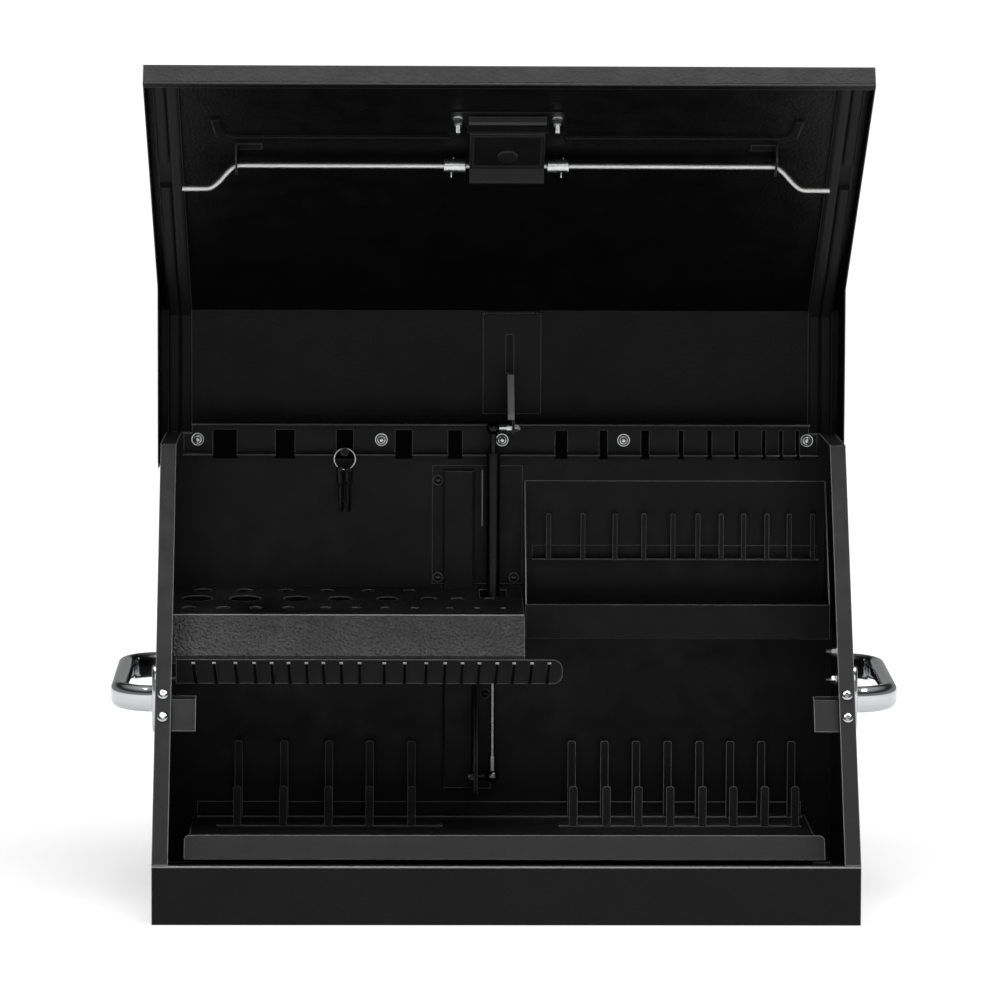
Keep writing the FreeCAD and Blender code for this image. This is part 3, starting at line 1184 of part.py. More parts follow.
def make_bin():
    holder = Piece("parts_bin")
    front = "inner_back - bin_depth"
    top = "bin_low + bin_back_height"
    lip = "bin_low + bin_lip"
    section = [("inner_back", top), ("inner_back", "bin_low"), (front, "bin_low"), (front, lip),
               (f"{front} + sheet", lip), (f"{front} + sheet", "bin_low + sheet"),
               ("inner_back - sheet", "bin_low + sheet"), ("inner_back - sheet", top)]
    holder.add("X", "bin_left", "bin_length", section)
    end = [("inner_back", "bin_low"), ("inner_back", top), ("inner_back - bin_end_top", top), (front, lip),
           (front, "bin_low")]
    holder.add("X", "bin_left", "sheet", end)
    holder.add("X", "bin_left + bin_length - sheet", "sheet", end)
    holder.round("X", "rack_bend", (front, "bin_low"))
    rack = Piece("bin_rack")
    face = "inner_back - sheet"
    base = f"{face} - bin_rack_depth"
    start = "bin_left + bin_rack_margin"
    length = "bin_length - 2 * bin_rack_margin"
    rack.add("X", start, length,
             [(face, "bin_rack_z"), (face, "bin_rack_z + bin_rack_back"),
              (f"{face} - rack_sheet", "bin_rack_z + bin_rack_back"),
              (f"{face} - rack_sheet", "bin_rack_z + rack_sheet"), (base, "bin_rack_z + rack_sheet"),
              (base, "bin_rack_z")])
    tip = "bin_rack_z + bin_finger_height"
    rack.add("Y", base, "rack_sheet", *finger_loops("bin_finger", "bin_finger_width", "bin_rack_z", tip))
    round_fingers(rack, "bin_finger", "bin_finger_width", tip, "bin_finger_round")


def make_shelf():
    """Perforated shelf, folded down along its front into a sloped face."""
    shelf = Piece("tool_shelf")
    face_y = "shelf_front - shelf_face * cos(slope_angle)"
    face_z = "shelf_front_z - shelf_face * sin(slope_angle)"
    rear_z = "shelf_front_z + shelf_rise"
    section = [("inner_back", rear_z), ("shelf_front", "shelf_front_z"), (face_y, face_z),
               (face_y, f"{face_z} - shelf_tab"), (f"{face_y} + sheet", f"{face_z} - shelf_tab"),
               (f"{face_y} + sheet", f"{face_z} - sheet * tan(slope_angle / 4)"),
               ("shelf_front + sheet * tan(slope_angle / 2)", "shelf_front_z - sheet"),
               ("inner_back", f"{rear_z} - sheet")]
    shelf.add("X", "-inner_x", "inner_x + shelf_right", section)
    shelf.round("X", "bend", ("shelf_front", "shelf_front_z"))
    under, depth = "shelf_front_z - sheet", "shelf_rise + sheet"
    for row in ("rear_hole", "middle_hole", "front_hole"):
        holes = zip(row_names(row), row_names(f"{row}_radius"))
        shelf.cut_through("Z", under, depth,
                          *[disc(x, f"inner_back - {row}_inset", radius) for x, radius in holes])
    shelf.cut_through("Z", under, depth,
                      box("strut_x - strut_slot", "strut_x + strut_slot", "inner_back - strut_slot_front",
                          "inner_back - rack_depth"))
    shelf.cut_through("Z", under, depth,
                      box("-channel_left - channel_gap", "-channel_left + channel_width + channel_gap",
                          "inner_back - plate_thick - channel_depth - channel_gap",
                          "inner_back + cut_margin"))


def make_comb():
    """Upright plate under the shelf's sloped face, with a row of long forward fingers."""
    comb = Piece("comb_rack")
    rear = "shelf_front - shelf_face * cos(slope_angle)"
    high = "shelf_front_z - shelf_face * sin(slope_angle) - comb_lap"
    low = f"{high} - comb_drop"
    comb.add("Y", f"{rear} - rack_sheet", "rack_sheet", box("-comb_left", "comb_right", low, high))
    comb.round("Y", "comb_corner", ("comb_right", low), ("comb_right", high))
    root = f"{rear} - rack_sheet / 2"
    finger = [(root, low), (root, f"{low} + comb_finger_thick"),
              (f"{root} - comb_finger_reach", f"{low} + comb_finger_rise + comb_finger_thick"),
              (f"{root} - comb_finger_reach", f"{low} + comb_finger_rise")]
    for x in row_names("comb_finger"):
        comb.add("X", f"{x} - comb_finger_width / 2", "comb_finger_width", finger)


# Bottom tray on posts, with its racks

def make_tray():
    tray = Piece("bottom_tray")
    low = "tray_height - sheet"
    lean_y = "tray_front + tray_lip * cos(slope_angle)"
    lean_z = "tray_height + tray_lip * sin(slope_angle)"
    tray.add("X", "-tray_half", "2 * tray_half",
             [("inner_back", low), ("inner_back", "tray_height"),
              ("tray_front + sheet / sin(slope_angle)", "tray_height"),
              (f"{lean_y} + sheet * sin(slope_angle)", f"{lean_z} - sheet * cos(slope_angle)"),
              (lean_y, lean_z), ("tray_front", "tray_height"), ("tray_front", low)])
    height = value(f"{lean_z} - 2 * sheet")

    def at_corner(edge):
        """Whether an edge crosses the lip's thickness at its free end."""
        is_high = all(vertex.Z > height for vertex in edge.Vertexes)
        return is_high and abs(edge.Vertexes[0].X - edge.Vertexes[-1].X) < 0.01

    tray.fillet("tray_corner", at_corner)
    posts = Piece("tray_posts")
    posts.add("Z", "sheet", "tray_height - 2 * sheet",
              *[disc(f"{side} * post_x", y, "post_radius") for name, side in SIDES
                for y in ("tray_front + post_inset", "inner_back - post_rear_inset")])


def make_rear_rack():
    rack = Piece("rear_rack")
    base = "inner_back - rear_rack_depth"
    rack.add("X", "-rear_rack_half", "2 * rear_rack_half",
             [("inner_back", "tray_height"), ("inner_back", "tray_height + rear_rack_back"),
              ("inner_back - rack_sheet", "tray_height + rear_rack_back"),
              ("inner_back - rack_sheet", "tray_height + rack_sheet"), (base, "tray_height + rack_sheet"),
              (base, "tray_height")])
    tip = "tray_height + rear_finger_height"
    for row in ("left_finger", "right_finger"):
        rack.add("Y", base, "rack_sheet", *finger_loops(row, "tray_finger_width", "tray_height", tip))
        round_fingers(rack, row, "tray_finger_width", tip, "tray_finger_round")


def make_front_rack(name, side):
    rack = Piece(f"front_rack_{name}")
    start, length = mirrored(side, "front_rack_inner", f"front_rack_inner + front_rack_{name}_length")
    rack.add("X", start, length, box("front_rack_y", "front_rack_y + front_rack_depth",
                                     "tray_height", "tray_height + rack_sheet"))
    tip = "tray_height + front_finger_height"
    row = f"{name}_finger"
    rack.add("Y", "front_rack_y", "rack_sheet", *finger_loops(row, "tray_finger_width", "tray_height", tip))
    round_fingers(rack, row, "tray_finger_width", tip, "tray_finger_round")


# Catches for the latch rods

def make_catch(name, side):
    catch = Piece(f"catch_{name}", "case_slope")
    low = "catch_middle - catch_length / 2"
    high = "catch_middle + catch_length / 2"
    under = "-sheet - catch_thick"
    hook = "-sheet - catch_depth"
    wall = "half_width - flange_width"
    start, length = mirrored(side, wall, "inner_x - catch_edge")
    catch.add("X", start, length, box(low, high, under, "-sheet"))
    start, length = mirrored(side, wall, f"{wall} + catch_thick")
    catch.add("X", start, length, box(low, high, f"{hook} - catch_thick", "-sheet"))
    start, length = mirrored(side, "catch_inner", f"{wall} + catch_thick")
    ramp = f"{high} - catch_ramp"
    catch.add("X", start, length,
              [(low, hook), (ramp, hook), (high, f"{hook} - catch_ramp"),
               (f"{high} - catch_thick", f"{hook} - catch_ramp - catch_thick"),
               (f"{ramp} - catch_thick / 2", f"{hook} - catch_thick"), (low, f"{hook} - catch_thick")])


def make_catch_screws():
    screws = Piece("catch_screws", "case_slope")
    x = "(half_width - flange_width / 2)"
    places = [(f"{side} * {x}", f"catch_middle + {end} * screw_spread / 2")
              for name, side in SIDES for end in (-1, 1)]
    screws.add("Z", "0", "screw_head_rise", *[disc(*place, "screw_head") for place in places])
    screws.round_rims("Z", "screw_head_rise", "screw_head_round")


# Side handles

def make_handle(name, side):
    """A cast bow handle with an upright foot plate at each end."""
    handle = Piece(f"handle_{name}", "handle")
    wall, far = value("half_width"), value("half_width + handle_reach")
    length = value("handle_length")
    corners = [Vector(side * x, y, 0) for x, y in ((wall, 0), (far, 0), (far, length), (wall, length))]
    half_width, half_height = "grip_width / 2", "grip_height / 2"
    section = box(f"-{half_width}", half_width, f"-{half_height}", half_height)
    sweep(handle, corners, value("handle_corner"), section, f"{side} * half_width")
    half_height = value(half_height)

    def on_ridge(edge):
        return all(abs(abs(vertex.Z) - half_height) < 0.01 for vertex in edge.Vertexes) and (
            abs(edge.Vertexes[0].Y - edge.Vertexes[-1].Y) > 0.01
            or abs(edge.Vertexes[0].X - edge.Vertexes[-1].X) > 0.01) and not across_end(edge)

    def across_end(edge):
        return all(abs(abs(vertex.X) - wall) < 0.01 for vertex in edge.Vertexes)

    handle.fillet("grip_round", on_ridge)
    start, length = mirrored(side, "half_width", "half_width + foot_plate_thick")
    foot = "foot_plate_height / 2"
    waist = "grip_height / 2"
    for y in ("0", "handle_length"):
        outline = [(f"{y} - foot_plate_width / 4", f"-{foot}"), (f"{y} + foot_plate_width / 4", f"-{foot}"),
                   (f"{y} + foot_plate_width / 2", f"-{waist}"), (f"{y} + foot_plate_width / 2", waist),
                   (f"{y} + foot_plate_width / 4", foot), (f"{y} - foot_plate_width / 4", foot),
                   (f"{y} - foot_plate_width / 2", waist), (f"{y} - foot_plate_width / 2", f"-{waist}")]
        handle.add("X", start, length, outline)


def make_handle_bolts():
    bolts = Piece("handle_bolts", "handle")
    places = [(y, f"{end} * handle_bolt_spread / 2") for y in ("0", "handle_length") for end in (-1, 1)]
    for name, side in SIDES:
        start, length = mirrored(side, "inner_x - handle_bolt_reach", "inner_x")
        bolts.add("X", start, length, *[disc(*place, "bolt_radius") for place in places])
        start, length = mirrored(side, "inner_x - nut_height", "inner_x")
        bolts.add("X", start, length, *[hexagon(*place, "nut_flats") for place in places])


# Keys on a peg

def make_keys():
    peg = Piece("key_peg")
    peg.add("Y", "inner_back - peg_reach", "peg_reach", disc("peg_x", "peg_z", "peg_radius"))
    peg.add("Y", "inner_back - peg_reach", "peg_head_thick", disc("peg_x", "peg_z", "peg_head"))
    ring = primitive("Part::Torus", "key_ring", {"Radius1": "ring_radius", "Radius2": "ring_wire"},
                     x="peg_x", y="inner_back - ring_reach", z="ring_z", axis=Vector(1, 0, 0), turn=90)
    ring.Label = "key_ring"
    for name, side in SIDES:
        key = Piece(f"key_{name}")
        key.add("X", "-key_thick / 2", "key_thick", disc("0", "0", "key_head"))
        key.add("X", "-key_thick / 2", "key_thick",
                box("-key_blade_width / 2", "key_blade_width / 2", "-key_head - key_blade", "0"))
        key.cut("X", "-key_thick", "2 * key_thick", disc("0", "key_head - key_hole_edge", "key_hole"))
        key.body.Placement = Placement(Vector(0, 0, 0), Rotation(Vector(0, 0, 1), 1))
        key.body.setExpression(".Placement.Rotation.Angle", bound("key_turn * 1 deg"))
        key.body.setExpression(".Placement.Base.x", bound(f"peg_x + {side} * key_spread / 2"))
        key.body.setExpression(".Placement.Base.y", bound("inner_back - ring_reach"))
        key.body.setExpression(".Placement.Base.z", bound("key_z"))


def make_all():
    make_floor()
    make_front_panel()
    make_back()
    make_lid_panel()
    make_hinge()
    make_latch_pan()
    make_latch_plate()
    make_paddle()
    make_lock()
    make_bracket()
    make_latch_studs()
    make_shaft()
    make_couplers()
    make_cotters()
    make_lid_plate()
    make_tab()
    make_ball_stud()
    make_strut()
    make_foot()
    make_strut_plate()
    make_plate_bolts()
    make_wrench_rack()
    make_bin()
    make_shelf()
    make_comb()
    make_tray()
    make_rear_rack()
    make_catch_screws()
    make_handle_bolts()
    make_keys()
    for name, side in SIDES:
        for make in (make_side, make_rail, make_seal, make_stiffener, make_rod, make_guide,
                     make_front_rack, make_catch, make_handle):
            make(name, side)


def finished():
    """The sub-parts: every body, and every Part object that no other object uses."""
    whole = []
    for item in doc.Objects:
        is_body = item.TypeId == "PartDesign::Body"
        is_loose = item.TypeId.startswith("Part::") and not item.InList
        if is_body or is_loose:
            whole.append(item)
    return whole


def write_parts():
    """Check every object, then write each sub-part to its own file."""
    doc.recompute()
    failed = [item for item in doc.Objects if "Invalid" in item.State or "Error" in item.State]
    if failed:
        owners = [(item.Name, [user.Label for user in item.InList]) for item in failed]
        raise ValueError(f"objects failed: {owners}")
    parts = finished()
    for item in parts:
        if item.Shape.isNull() or not item.Shape.isValid() or not item.Shape.Solids:
            raise ValueError(f"{item.Label} has no valid solid")
    os.makedirs("parts", exist_ok=True)
    for item in parts:
        item.Shape.exportStep(f"parts/{item.Label}.step")
    print(len(parts), "parts written")


make_all()
write_parts()
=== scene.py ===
import math
import bmesh
import bpy
from mathutils import Matrix, Vector, noise


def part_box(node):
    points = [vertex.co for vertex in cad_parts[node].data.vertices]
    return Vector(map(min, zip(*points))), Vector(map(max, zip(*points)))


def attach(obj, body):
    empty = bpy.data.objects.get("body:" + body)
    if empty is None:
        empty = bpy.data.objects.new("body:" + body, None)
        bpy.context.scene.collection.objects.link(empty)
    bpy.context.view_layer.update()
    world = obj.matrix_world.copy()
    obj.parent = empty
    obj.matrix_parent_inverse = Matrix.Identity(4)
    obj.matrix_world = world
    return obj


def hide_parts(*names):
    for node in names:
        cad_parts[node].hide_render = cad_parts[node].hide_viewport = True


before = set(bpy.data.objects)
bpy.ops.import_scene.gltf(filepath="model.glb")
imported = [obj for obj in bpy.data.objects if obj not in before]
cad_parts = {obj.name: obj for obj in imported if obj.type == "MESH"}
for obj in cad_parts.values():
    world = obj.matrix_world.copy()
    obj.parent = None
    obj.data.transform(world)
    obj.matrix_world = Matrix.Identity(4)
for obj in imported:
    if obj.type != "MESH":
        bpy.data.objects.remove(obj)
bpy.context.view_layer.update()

# A top tool chest of black powder-coated steel, its lid held open by a gas strut.
# X runs to the right, Y to the back and Z up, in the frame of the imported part.
# Pieces are drawn in millimetres and brought to metres when they are finished.

MM = 0.001


# Colours, nodes and materials

def linear(colour):
    """An sRGB hex colour as linear RGBA."""
    values = [int(colour[place:place + 2], 16) / 255 for place in (1, 3, 5)]
    return [v / 12.92 if v <= 0.04045 else ((v + 0.055) / 1.055) ** 2.4 for v in values] + [1.0]


def add_node(tree, kind, links=(), inputs=(), stops=(), **properties):
    """Add a node with its properties, input values, colour stops and the sockets that feed it."""
    node = tree.nodes.new(kind)
    for name, setting in properties.items():
        setattr(node, name, setting)
    for name, setting in dict(inputs).items():
        node.inputs[name].default_value = setting
    for name, socket in dict(links).items():
        tree.links.new(socket, node.inputs[name])
    if stops:
        ramp = node.color_ramp.elements
        ramp.remove(ramp[1])
        ramp[0].position, ramp[0].color = stops[0][0], linear(stops[0][1])
        for position, colour in stops[1:]:
            ramp.new(position).color = linear(colour)
    return node


def new_material(name, **inputs):
    """An empty material: itself, its tree, its principled shader and its Object coordinates."""
    material = bpy.data.materials.new(name)
    material.use_nodes = True
    tree = material.node_tree
    tree.nodes.clear()
    shader = add_node(tree, "ShaderNodeBsdfPrincipled",
                      inputs={key.replace("_", " "): setting for key, setting in inputs.items()})
    add_node(tree, "ShaderNodeOutputMaterial", {"Surface": shader.outputs["BSDF"]})
    place = add_node(tree, "ShaderNodeTexCoord").outputs["Object"]
    return material, tree, shader, place


EDGE_ROUND = 0.7 * MM  # radius that the baked powder leaves along every edge
EDGE_REACH = 1.1 * MM  # reach of the painted edge highlight: sheet thinner than this gets it along its cut edges


def powder_coat(name, dark, light, edge, gloss, grain, depth):
    """Black polyester powder, sprayed dry on sheet steel and baked until it flows.

    It gives a black that is never quite even, a soft sheen, an orange peel that breaks up
    highlights, and edges rounded in shading. Along cut and convex edges a paler colour is mixed in
    as a painted highlight.
    The real peel is about 1 mm across, and it is drawn a little coarser so that it shows.
    """
    material, tree, shader, place = new_material(name)
    peel = add_node(tree, "ShaderNodeTexNoise", {"Vector": place},
                    {"Scale": 1 / grain, "Detail": 1.0, "Roughness": 0.4})
    cloud = add_node(tree, "ShaderNodeTexNoise", {"Vector": place}, {"Scale": 1 / (110 * MM), "Detail": 2.0})
    uneven = add_node(tree, "ShaderNodeMath", {0: peel.outputs["Fac"], 1: cloud.outputs["Fac"]},
                      operation="MULTIPLY")
    tone = add_node(tree, "ShaderNodeValToRGB", {"Fac": uneven.outputs[0]},
                    stops=[(0.15, dark), (0.35, light)])
    # Painted highlight: inside ambient occlusion finds cut and convex edges, and there the paler edge colour
    # is mixed into the base colour
    close = add_node(tree, "ShaderNodeAmbientOcclusion", inputs={"Distance": EDGE_REACH}, samples=4,
                     inside=True, only_local=True)
    painted_edge_highlight = add_node(tree, "ShaderNodeMapRange", {"Value": close.outputs["AO"]},
                     {"From Min": 0.86, "From Max": 0.62})
    colour = add_node(tree, "ShaderNodeMix",
                      {"Factor": painted_edge_highlight.outputs["Result"], "A": tone.outputs["Color"]},
                      {"B": linear(edge)}, data_type="RGBA")
    tree.links.new(colour.outputs["Result"], shader.inputs["Base Color"])
    haze = add_node(tree, "ShaderNodeTexNoise", {"Vector": place}, {"Scale": 1 / (28 * MM), "Detail": 2.0})
    sheen = add_node(tree, "ShaderNodeMapRange", {"Value": haze.outputs["Fac"]},
                     {"From Min": 0.3, "From Max": 0.7, "To Min": 0.34, "To Max": 0.44})
    tree.links.new(sheen.outputs["Result"], shader.inputs["Roughness"])
    soft = add_node(tree, "ShaderNodeBevel", inputs={"Radius": EDGE_ROUND}, samples=4)
    rough = add_node(tree, "ShaderNodeBump",
                     {"Height": peel.outputs["Fac"], "Normal": soft.outputs["Normal"]}, {"Distance": depth})
    tree.links.new(rough.outputs["Normal"], shader.inputs["Normal"])
    shader.inputs["Specular IOR Level"].default_value = gloss
    return material


def zinc_plate():
    """Bright zinc plate on turned steel: a cool, slightly clouded metal with fine handling marks."""
    material, tree, shader, place = new_material("bright_zinc_plate", Metallic=1.0)
    cloud = add_node(tree, "ShaderNodeTexNoise", {"Vector": place}, {"Scale": 1 / (5 * MM), "Detail": 4.0})
    tone = add_node(tree, "ShaderNodeValToRGB", {"Fac": cloud.outputs["Fac"]},
                    stops=[(0.3, "#b4b6b6"), (0.7, "#dcdedd")])
    tree.links.new(tone.outputs["Color"], shader.inputs["Base Color"])
    dull = add_node(tree, "ShaderNodeMapRange", {"Value": cloud.outputs["Fac"]},
                    {"From Min": 0.3, "From Max": 0.7, "To Min": 0.24, "To Max": 0.42})
    tree.links.new(dull.outputs["Result"], shader.inputs["Roughness"])
    marks = add_node(tree, "ShaderNodeTexNoise", {"Vector": place}, {"Scale": 1 / (0.9 * MM), "Detail": 2.0})
    rough = add_node(tree, "ShaderNodeBump", {"Height": marks.outputs["Fac"]}, {"Distance": 0.02 * MM})
    tree.links.new(rough.outputs["Normal"], shader.inputs["Normal"])
    return material


def drawn_rod():
    """Cold-drawn steel rod, zinc plated: bright, with faint lines that the die left along it."""
    material, tree, shader, place = new_material("drawn_zinc_rod", Metallic=1.0)
    along = add_node(tree, "ShaderNodeMapping", {"Vector": place}, {"Scale": (0.04, 1, 1)})
    lines = add_node(tree, "ShaderNodeTexNoise", {"Vector": along.outputs["Vector"]},
                     {"Scale": 1 / (0.8 * MM), "Detail": 2.0})
    tone = add_node(tree, "ShaderNodeValToRGB", {"Fac": lines.outputs["Fac"]},
                    stops=[(0.3, "#b6b7b6"), (0.7, "#d9dad8")])
    tree.links.new(tone.outputs["Color"], shader.inputs["Base Color"])
    dull = add_node(tree, "ShaderNodeMapRange", {"Value": lines.outputs["Fac"]},
                    {"From Min": 0.3, "From Max": 0.7, "To Min": 0.42, "To Max": 0.54})
    tree.links.new(dull.outputs["Result"], shader.inputs["Roughness"])
    rough = add_node(tree, "ShaderNodeBump", {"Height": lines.outputs["Fac"]}, {"Distance": 0.02 * MM})
    tree.links.new(rough.outputs["Normal"], shader.inputs["Normal"])
    return material


def chrome_plate():
    """Bright chrome on a polished casting: a mirror with the slow waves that buffing leaves."""
    material, tree, shader, place = new_material("polished_chrome_plate", Metallic=1.0,
                                                 Base_Color=linear("#b8babb"))
    film = add_node(tree, "ShaderNodeTexNoise", {"Vector": place}, {"Scale": 1 / (9 * MM), "Detail": 3.0})
    dull = add_node(tree, "ShaderNodeMapRange", {"Value": film.outputs["Fac"]},
                    {"From Min": 0.3, "From Max": 0.7, "To Min": 0.04, "To Max": 0.11})
    tree.links.new(dull.outputs["Result"], shader.inputs["Roughness"])
    wave = add_node(tree, "ShaderNodeTexNoise", {"Vector": place}, {"Scale": 1 / (16 * MM), "Detail": 0.0})
    rough = add_node(tree, "ShaderNodeBump", {"Height": wave.outputs["Fac"]}, {"Distance": 0.12 * MM})
    tree.links.new(rough.outputs["Normal"], shader.inputs["Normal"])
    return material


def seal_rubber():
    """Extruded EPDM foam rubber: a dead matt black with a fine open-cell skin."""
    material, tree, shader, place = new_material("extruded_seal_rubber")
    cells = add_node(tree, "ShaderNodeTexVoronoi", {"Vector": place}, {"Scale": 1 / (1.2 * MM)})
    tone = add_node(tree, "ShaderNodeValToRGB", {"Fac": cells.outputs["Distance"]},
                    stops=[(0.1, "#1b1b1b"), (0.7, "#232323")])
    tree.links.new(tone.outputs["Color"], shader.inputs["Base Color"])
    shader.inputs["Roughness"].default_value = 0.72
    shader.inputs["Specular IOR Level"].default_value = 0.25
    rough = add_node(tree, "ShaderNodeBump", {"Height": cells.outputs["Distance"]}, {"Distance": 0.05 * MM})
    tree.links.new(rough.outputs["Normal"], shader.inputs["Normal"])
    return material


def tube_paint():
    """Baked black enamel on the strut's drawn tube: smoother and glossier than the powder coat."""
    material, tree, shader, place = new_material("baked_tube_enamel")
    film = add_node(tree, "ShaderNodeTexNoise", {"Vector": place}, {"Scale": 1 / (14 * MM), "Detail": 2.0})
    tone = add_node(tree, "ShaderNodeValToRGB", {"Fac": film.outputs["Fac"]},
                    stops=[(0.3, "#0c0c0d"), (0.7, "#101011")])
    tree.links.new(tone.outputs["Color"], shader.inputs["Base Color"])
    dull = add_node(tree, "ShaderNodeMapRange", {"Value": film.outputs["Fac"]},
                    {"From Min": 0.3, "From Max": 0.7, "To Min": 0.22, "To Max": 0.32})
    tree.links.new(dull.outputs["Result"], shader.inputs["Roughness"])
    rough = add_node(tree, "ShaderNodeBump", {"Height": film.outputs["Fac"]}, {"Distance": 0.04 * MM})
    tree.links.new(rough.outputs["Normal"], shader.inputs["Normal"])
    shader.inputs["Specular IOR Level"].default_value = 0.2
    return material


def ground_rod():
    """Hard-chromed piston rod, ground between centres: bright, with rings too fine to see singly.

    The rings are drawn 1 mm apart so that they soften the highlight as the real ones do.
    """
    material, tree, shader, place = new_material("ground_chromed_rod", Metallic=1.0,
                                                 Base_Color=linear("#6e7071"))
    rings = add_node(tree, "ShaderNodeMapping", {"Vector": place}, {"Scale": (0.05, 0.05, 1)})
    lines = add_node(tree, "ShaderNodeTexNoise", {"Vector": rings.outputs["Vector"]},
                     {"Scale": 1 / (1 * MM), "Detail": 1.0})
    dull = add_node(tree, "ShaderNodeMapRange", {"Value": lines.outputs["Fac"]},
                    {"From Min": 0.3, "From Max": 0.7, "To Min": 0.16, "To Max": 0.28})
    tree.links.new(dull.outputs["Result"], shader.inputs["Roughness"])
    rough = add_node(tree, "ShaderNodeBump", {"Height": lines.outputs["Fac"]}, {"Distance": 0.01 * MM})
    tree.links.new(rough.outputs["Normal"], shader.inputs["Normal"])
    return material


def key_metal():
    """Black-nickel plate on brass key blanks: a dark grey metal, with the milling left in the cuts."""
    material, tree, shader, place = new_material("black_nickel_plated_brass", Metallic=1.0)
    wear = add_node(tree, "ShaderNodeTexNoise", {"Vector": place}, {"Scale": 1 / (4 * MM), "Detail": 4.0})
    tone = add_node(tree, "ShaderNodeValToRGB", {"Fac": wear.outputs["Fac"]},
                    stops=[(0.3, "#3e3d3b"), (0.7, "#4e4d4a")])
    tree.links.new(tone.outputs["Color"], shader.inputs["Base Color"])
    shader.inputs["Roughness"].default_value = 0.34
    mill = add_node(tree, "ShaderNodeTexWave", {"Vector": place}, {"Scale": 1 / (6 * MM), "Distortion": 1.0},
                    bands_direction="Z")
    rough = add_node(tree, "ShaderNodeBump", {"Height": mill.outputs["Fac"]}, {"Distance": 0.05 * MM})
    tree.links.new(rough.outputs["Normal"], shader.inputs["Normal"])
    return material


def key_plastic():
    """Injection-moulded black ABS over the keys' heads, with a fine spark-eroded grain."""
    material, tree, shader, place = new_material("moulded_black_abs", Roughness=0.5)
    grit = add_node(tree, "ShaderNodeTexNoise", {"Vector": place}, {"Scale": 1 / (0.7 * MM), "Detail": 1.0})
    tone = add_node(tree, "ShaderNodeValToRGB", {"Fac": grit.outputs["Fac"]},
                    stops=[(0.3, "#171717"), (0.7, "#202021")])
    tree.links.new(tone.outputs["Color"], shader.inputs["Base Color"])
    rough = add_node(tree, "ShaderNodeBump", {"Height": grit.outputs["Fac"]}, {"Distance": 0.05 * MM})
    tree.links.new(rough.outputs["Normal"], shader.inputs["Normal"])
    return material


def painted_shade_felt():
    """Needle felt of black polyester: fibres that lie every way and hold nearly all the light, used as
    painted shade.
    """
    material, tree, shader, place = new_material("black_needle_felt", Roughness=0.95)
    fibres = add_node(tree, "ShaderNodeTexNoise", {"Vector": place},
                      {"Scale": 1 / (1.2 * MM), "Detail": 3.0, "Distortion": 1.5})
    tone = add_node(tree, "ShaderNodeValToRGB", {"Fac": fibres.outputs["Fac"]},
                    stops=[(0.3, "#0b0b0b"), (0.7, "#131313")])
    tree.links.new(tone.outputs["Color"], shader.inputs["Base Color"])
    shader.inputs["Specular IOR Level"].default_value = 0.05
    rough = add_node(tree, "ShaderNodeBump", {"Height": fibres.outputs["Fac"]}, {"Distance": 0.3 * MM})
    tree.links.new(rough.outputs["Normal"], shader.inputs["Normal"])
    return material


# Each coat's edge colour is its painted highlight along cut and convex edges
# Satin powder on the case and its racks: nearly smooth, with a faint peel
SMOOTH_COAT = powder_coat("satin_black_powder_coat", "#151516", "#1b1b1c", edge="#9c9c9e", gloss=0.13,
                          grain=1.8 * MM, depth=0.06 * MM)
# Thicker powder on the lid, with an orange peel that can be seen
PEEL_COAT = powder_coat("orange_peel_powder_coat", "#111112", "#18181a", edge="#737375", gloss=0.11,
                        grain=3.4 * MM, depth=0.3 * MM)
# Textured powder on the shelf, as rough as fine sandpaper
TEXTURED_COAT = powder_coat("textured_black_powder_coat", "#060606", "#2c2c2d", edge="#8a8a8c", gloss=0.26,
                            grain=3.0 * MM, depth=0.9 * MM)
# Pale coat for ridges and broad cut edges: a painted highlight, standing in for the light they catch under
# the lamps
PAINTED_HIGHLIGHT_COAT = powder_coat("worn_ridge_powder_coat", "#a6a6a7", "#bcbcbd", edge="#c4c4c5", gloss=0.3,
                         grain=3.0 * MM, depth=0.1 * MM)
# Glossier powder on the front racks and over the latch; its greyer colour is painted light, lighter than the
# case's coat
PAINTED_LIGHT_RACK_COAT = powder_coat("semi_gloss_black_powder_coat", "#242425", "#2b2b2c", edge="#8a8a8c", gloss=0.16,
                        grain=1.8 * MM, depth=0.06 * MM)
# Glossy powder on the latch's housing, bracket and cover; its grey-black colour is painted light, lighter
# than the case's coat
PAINTED_LIGHT_HOUSING_COAT = powder_coat("gloss_black_powder_coat", "#2c2c2d", "#323233", edge="#444446", gloss=0.22,
                           grain=1.4 * MM, depth=0.04 * MM)
ZINC = zinc_plate()
ROD = drawn_rod()
CHROME = chrome_plate()
RUBBER = seal_rubber()
ENAMEL = tube_paint()
PISTON = ground_rod()
NICKEL = key_metal()
ABS = key_plastic()
SLOT_SHADE_FELT = painted_shade_felt()

# Materials of the nodes that stay; the other nodes have the smooth coat
NODE_FINISH = {
    "tool_shelf": TEXTURED_COAT, "lid_panel": PEEL_COAT, "lid_stiffener_left": PEEL_COAT,
    "lid_stiffener_right": PEEL_COAT, "latch_housing": PAINTED_LIGHT_HOUSING_COAT, "latch_bracket": PAINTED_LIGHT_HOUSING_COAT,
    "front_rack_left": PAINTED_LIGHT_RACK_COAT, "front_rack_right": PAINTED_LIGHT_RACK_COAT,
    "lid_seal_left": RUBBER, "lid_seal_right": RUBBER,
    "latch_shaft": ROD, "rod_couplers": ZINC,
    "hinge_pin": ZINC, "strut_foot_stud": ENAMEL, "strut_cylinder": ENAMEL, "strut_rod": PISTON,
    "key_ring": ZINC, "latch_paddle": CHROME, "lock_cylinder": CHROME,
}


# Places: the frames that the CAD draws its pieces in

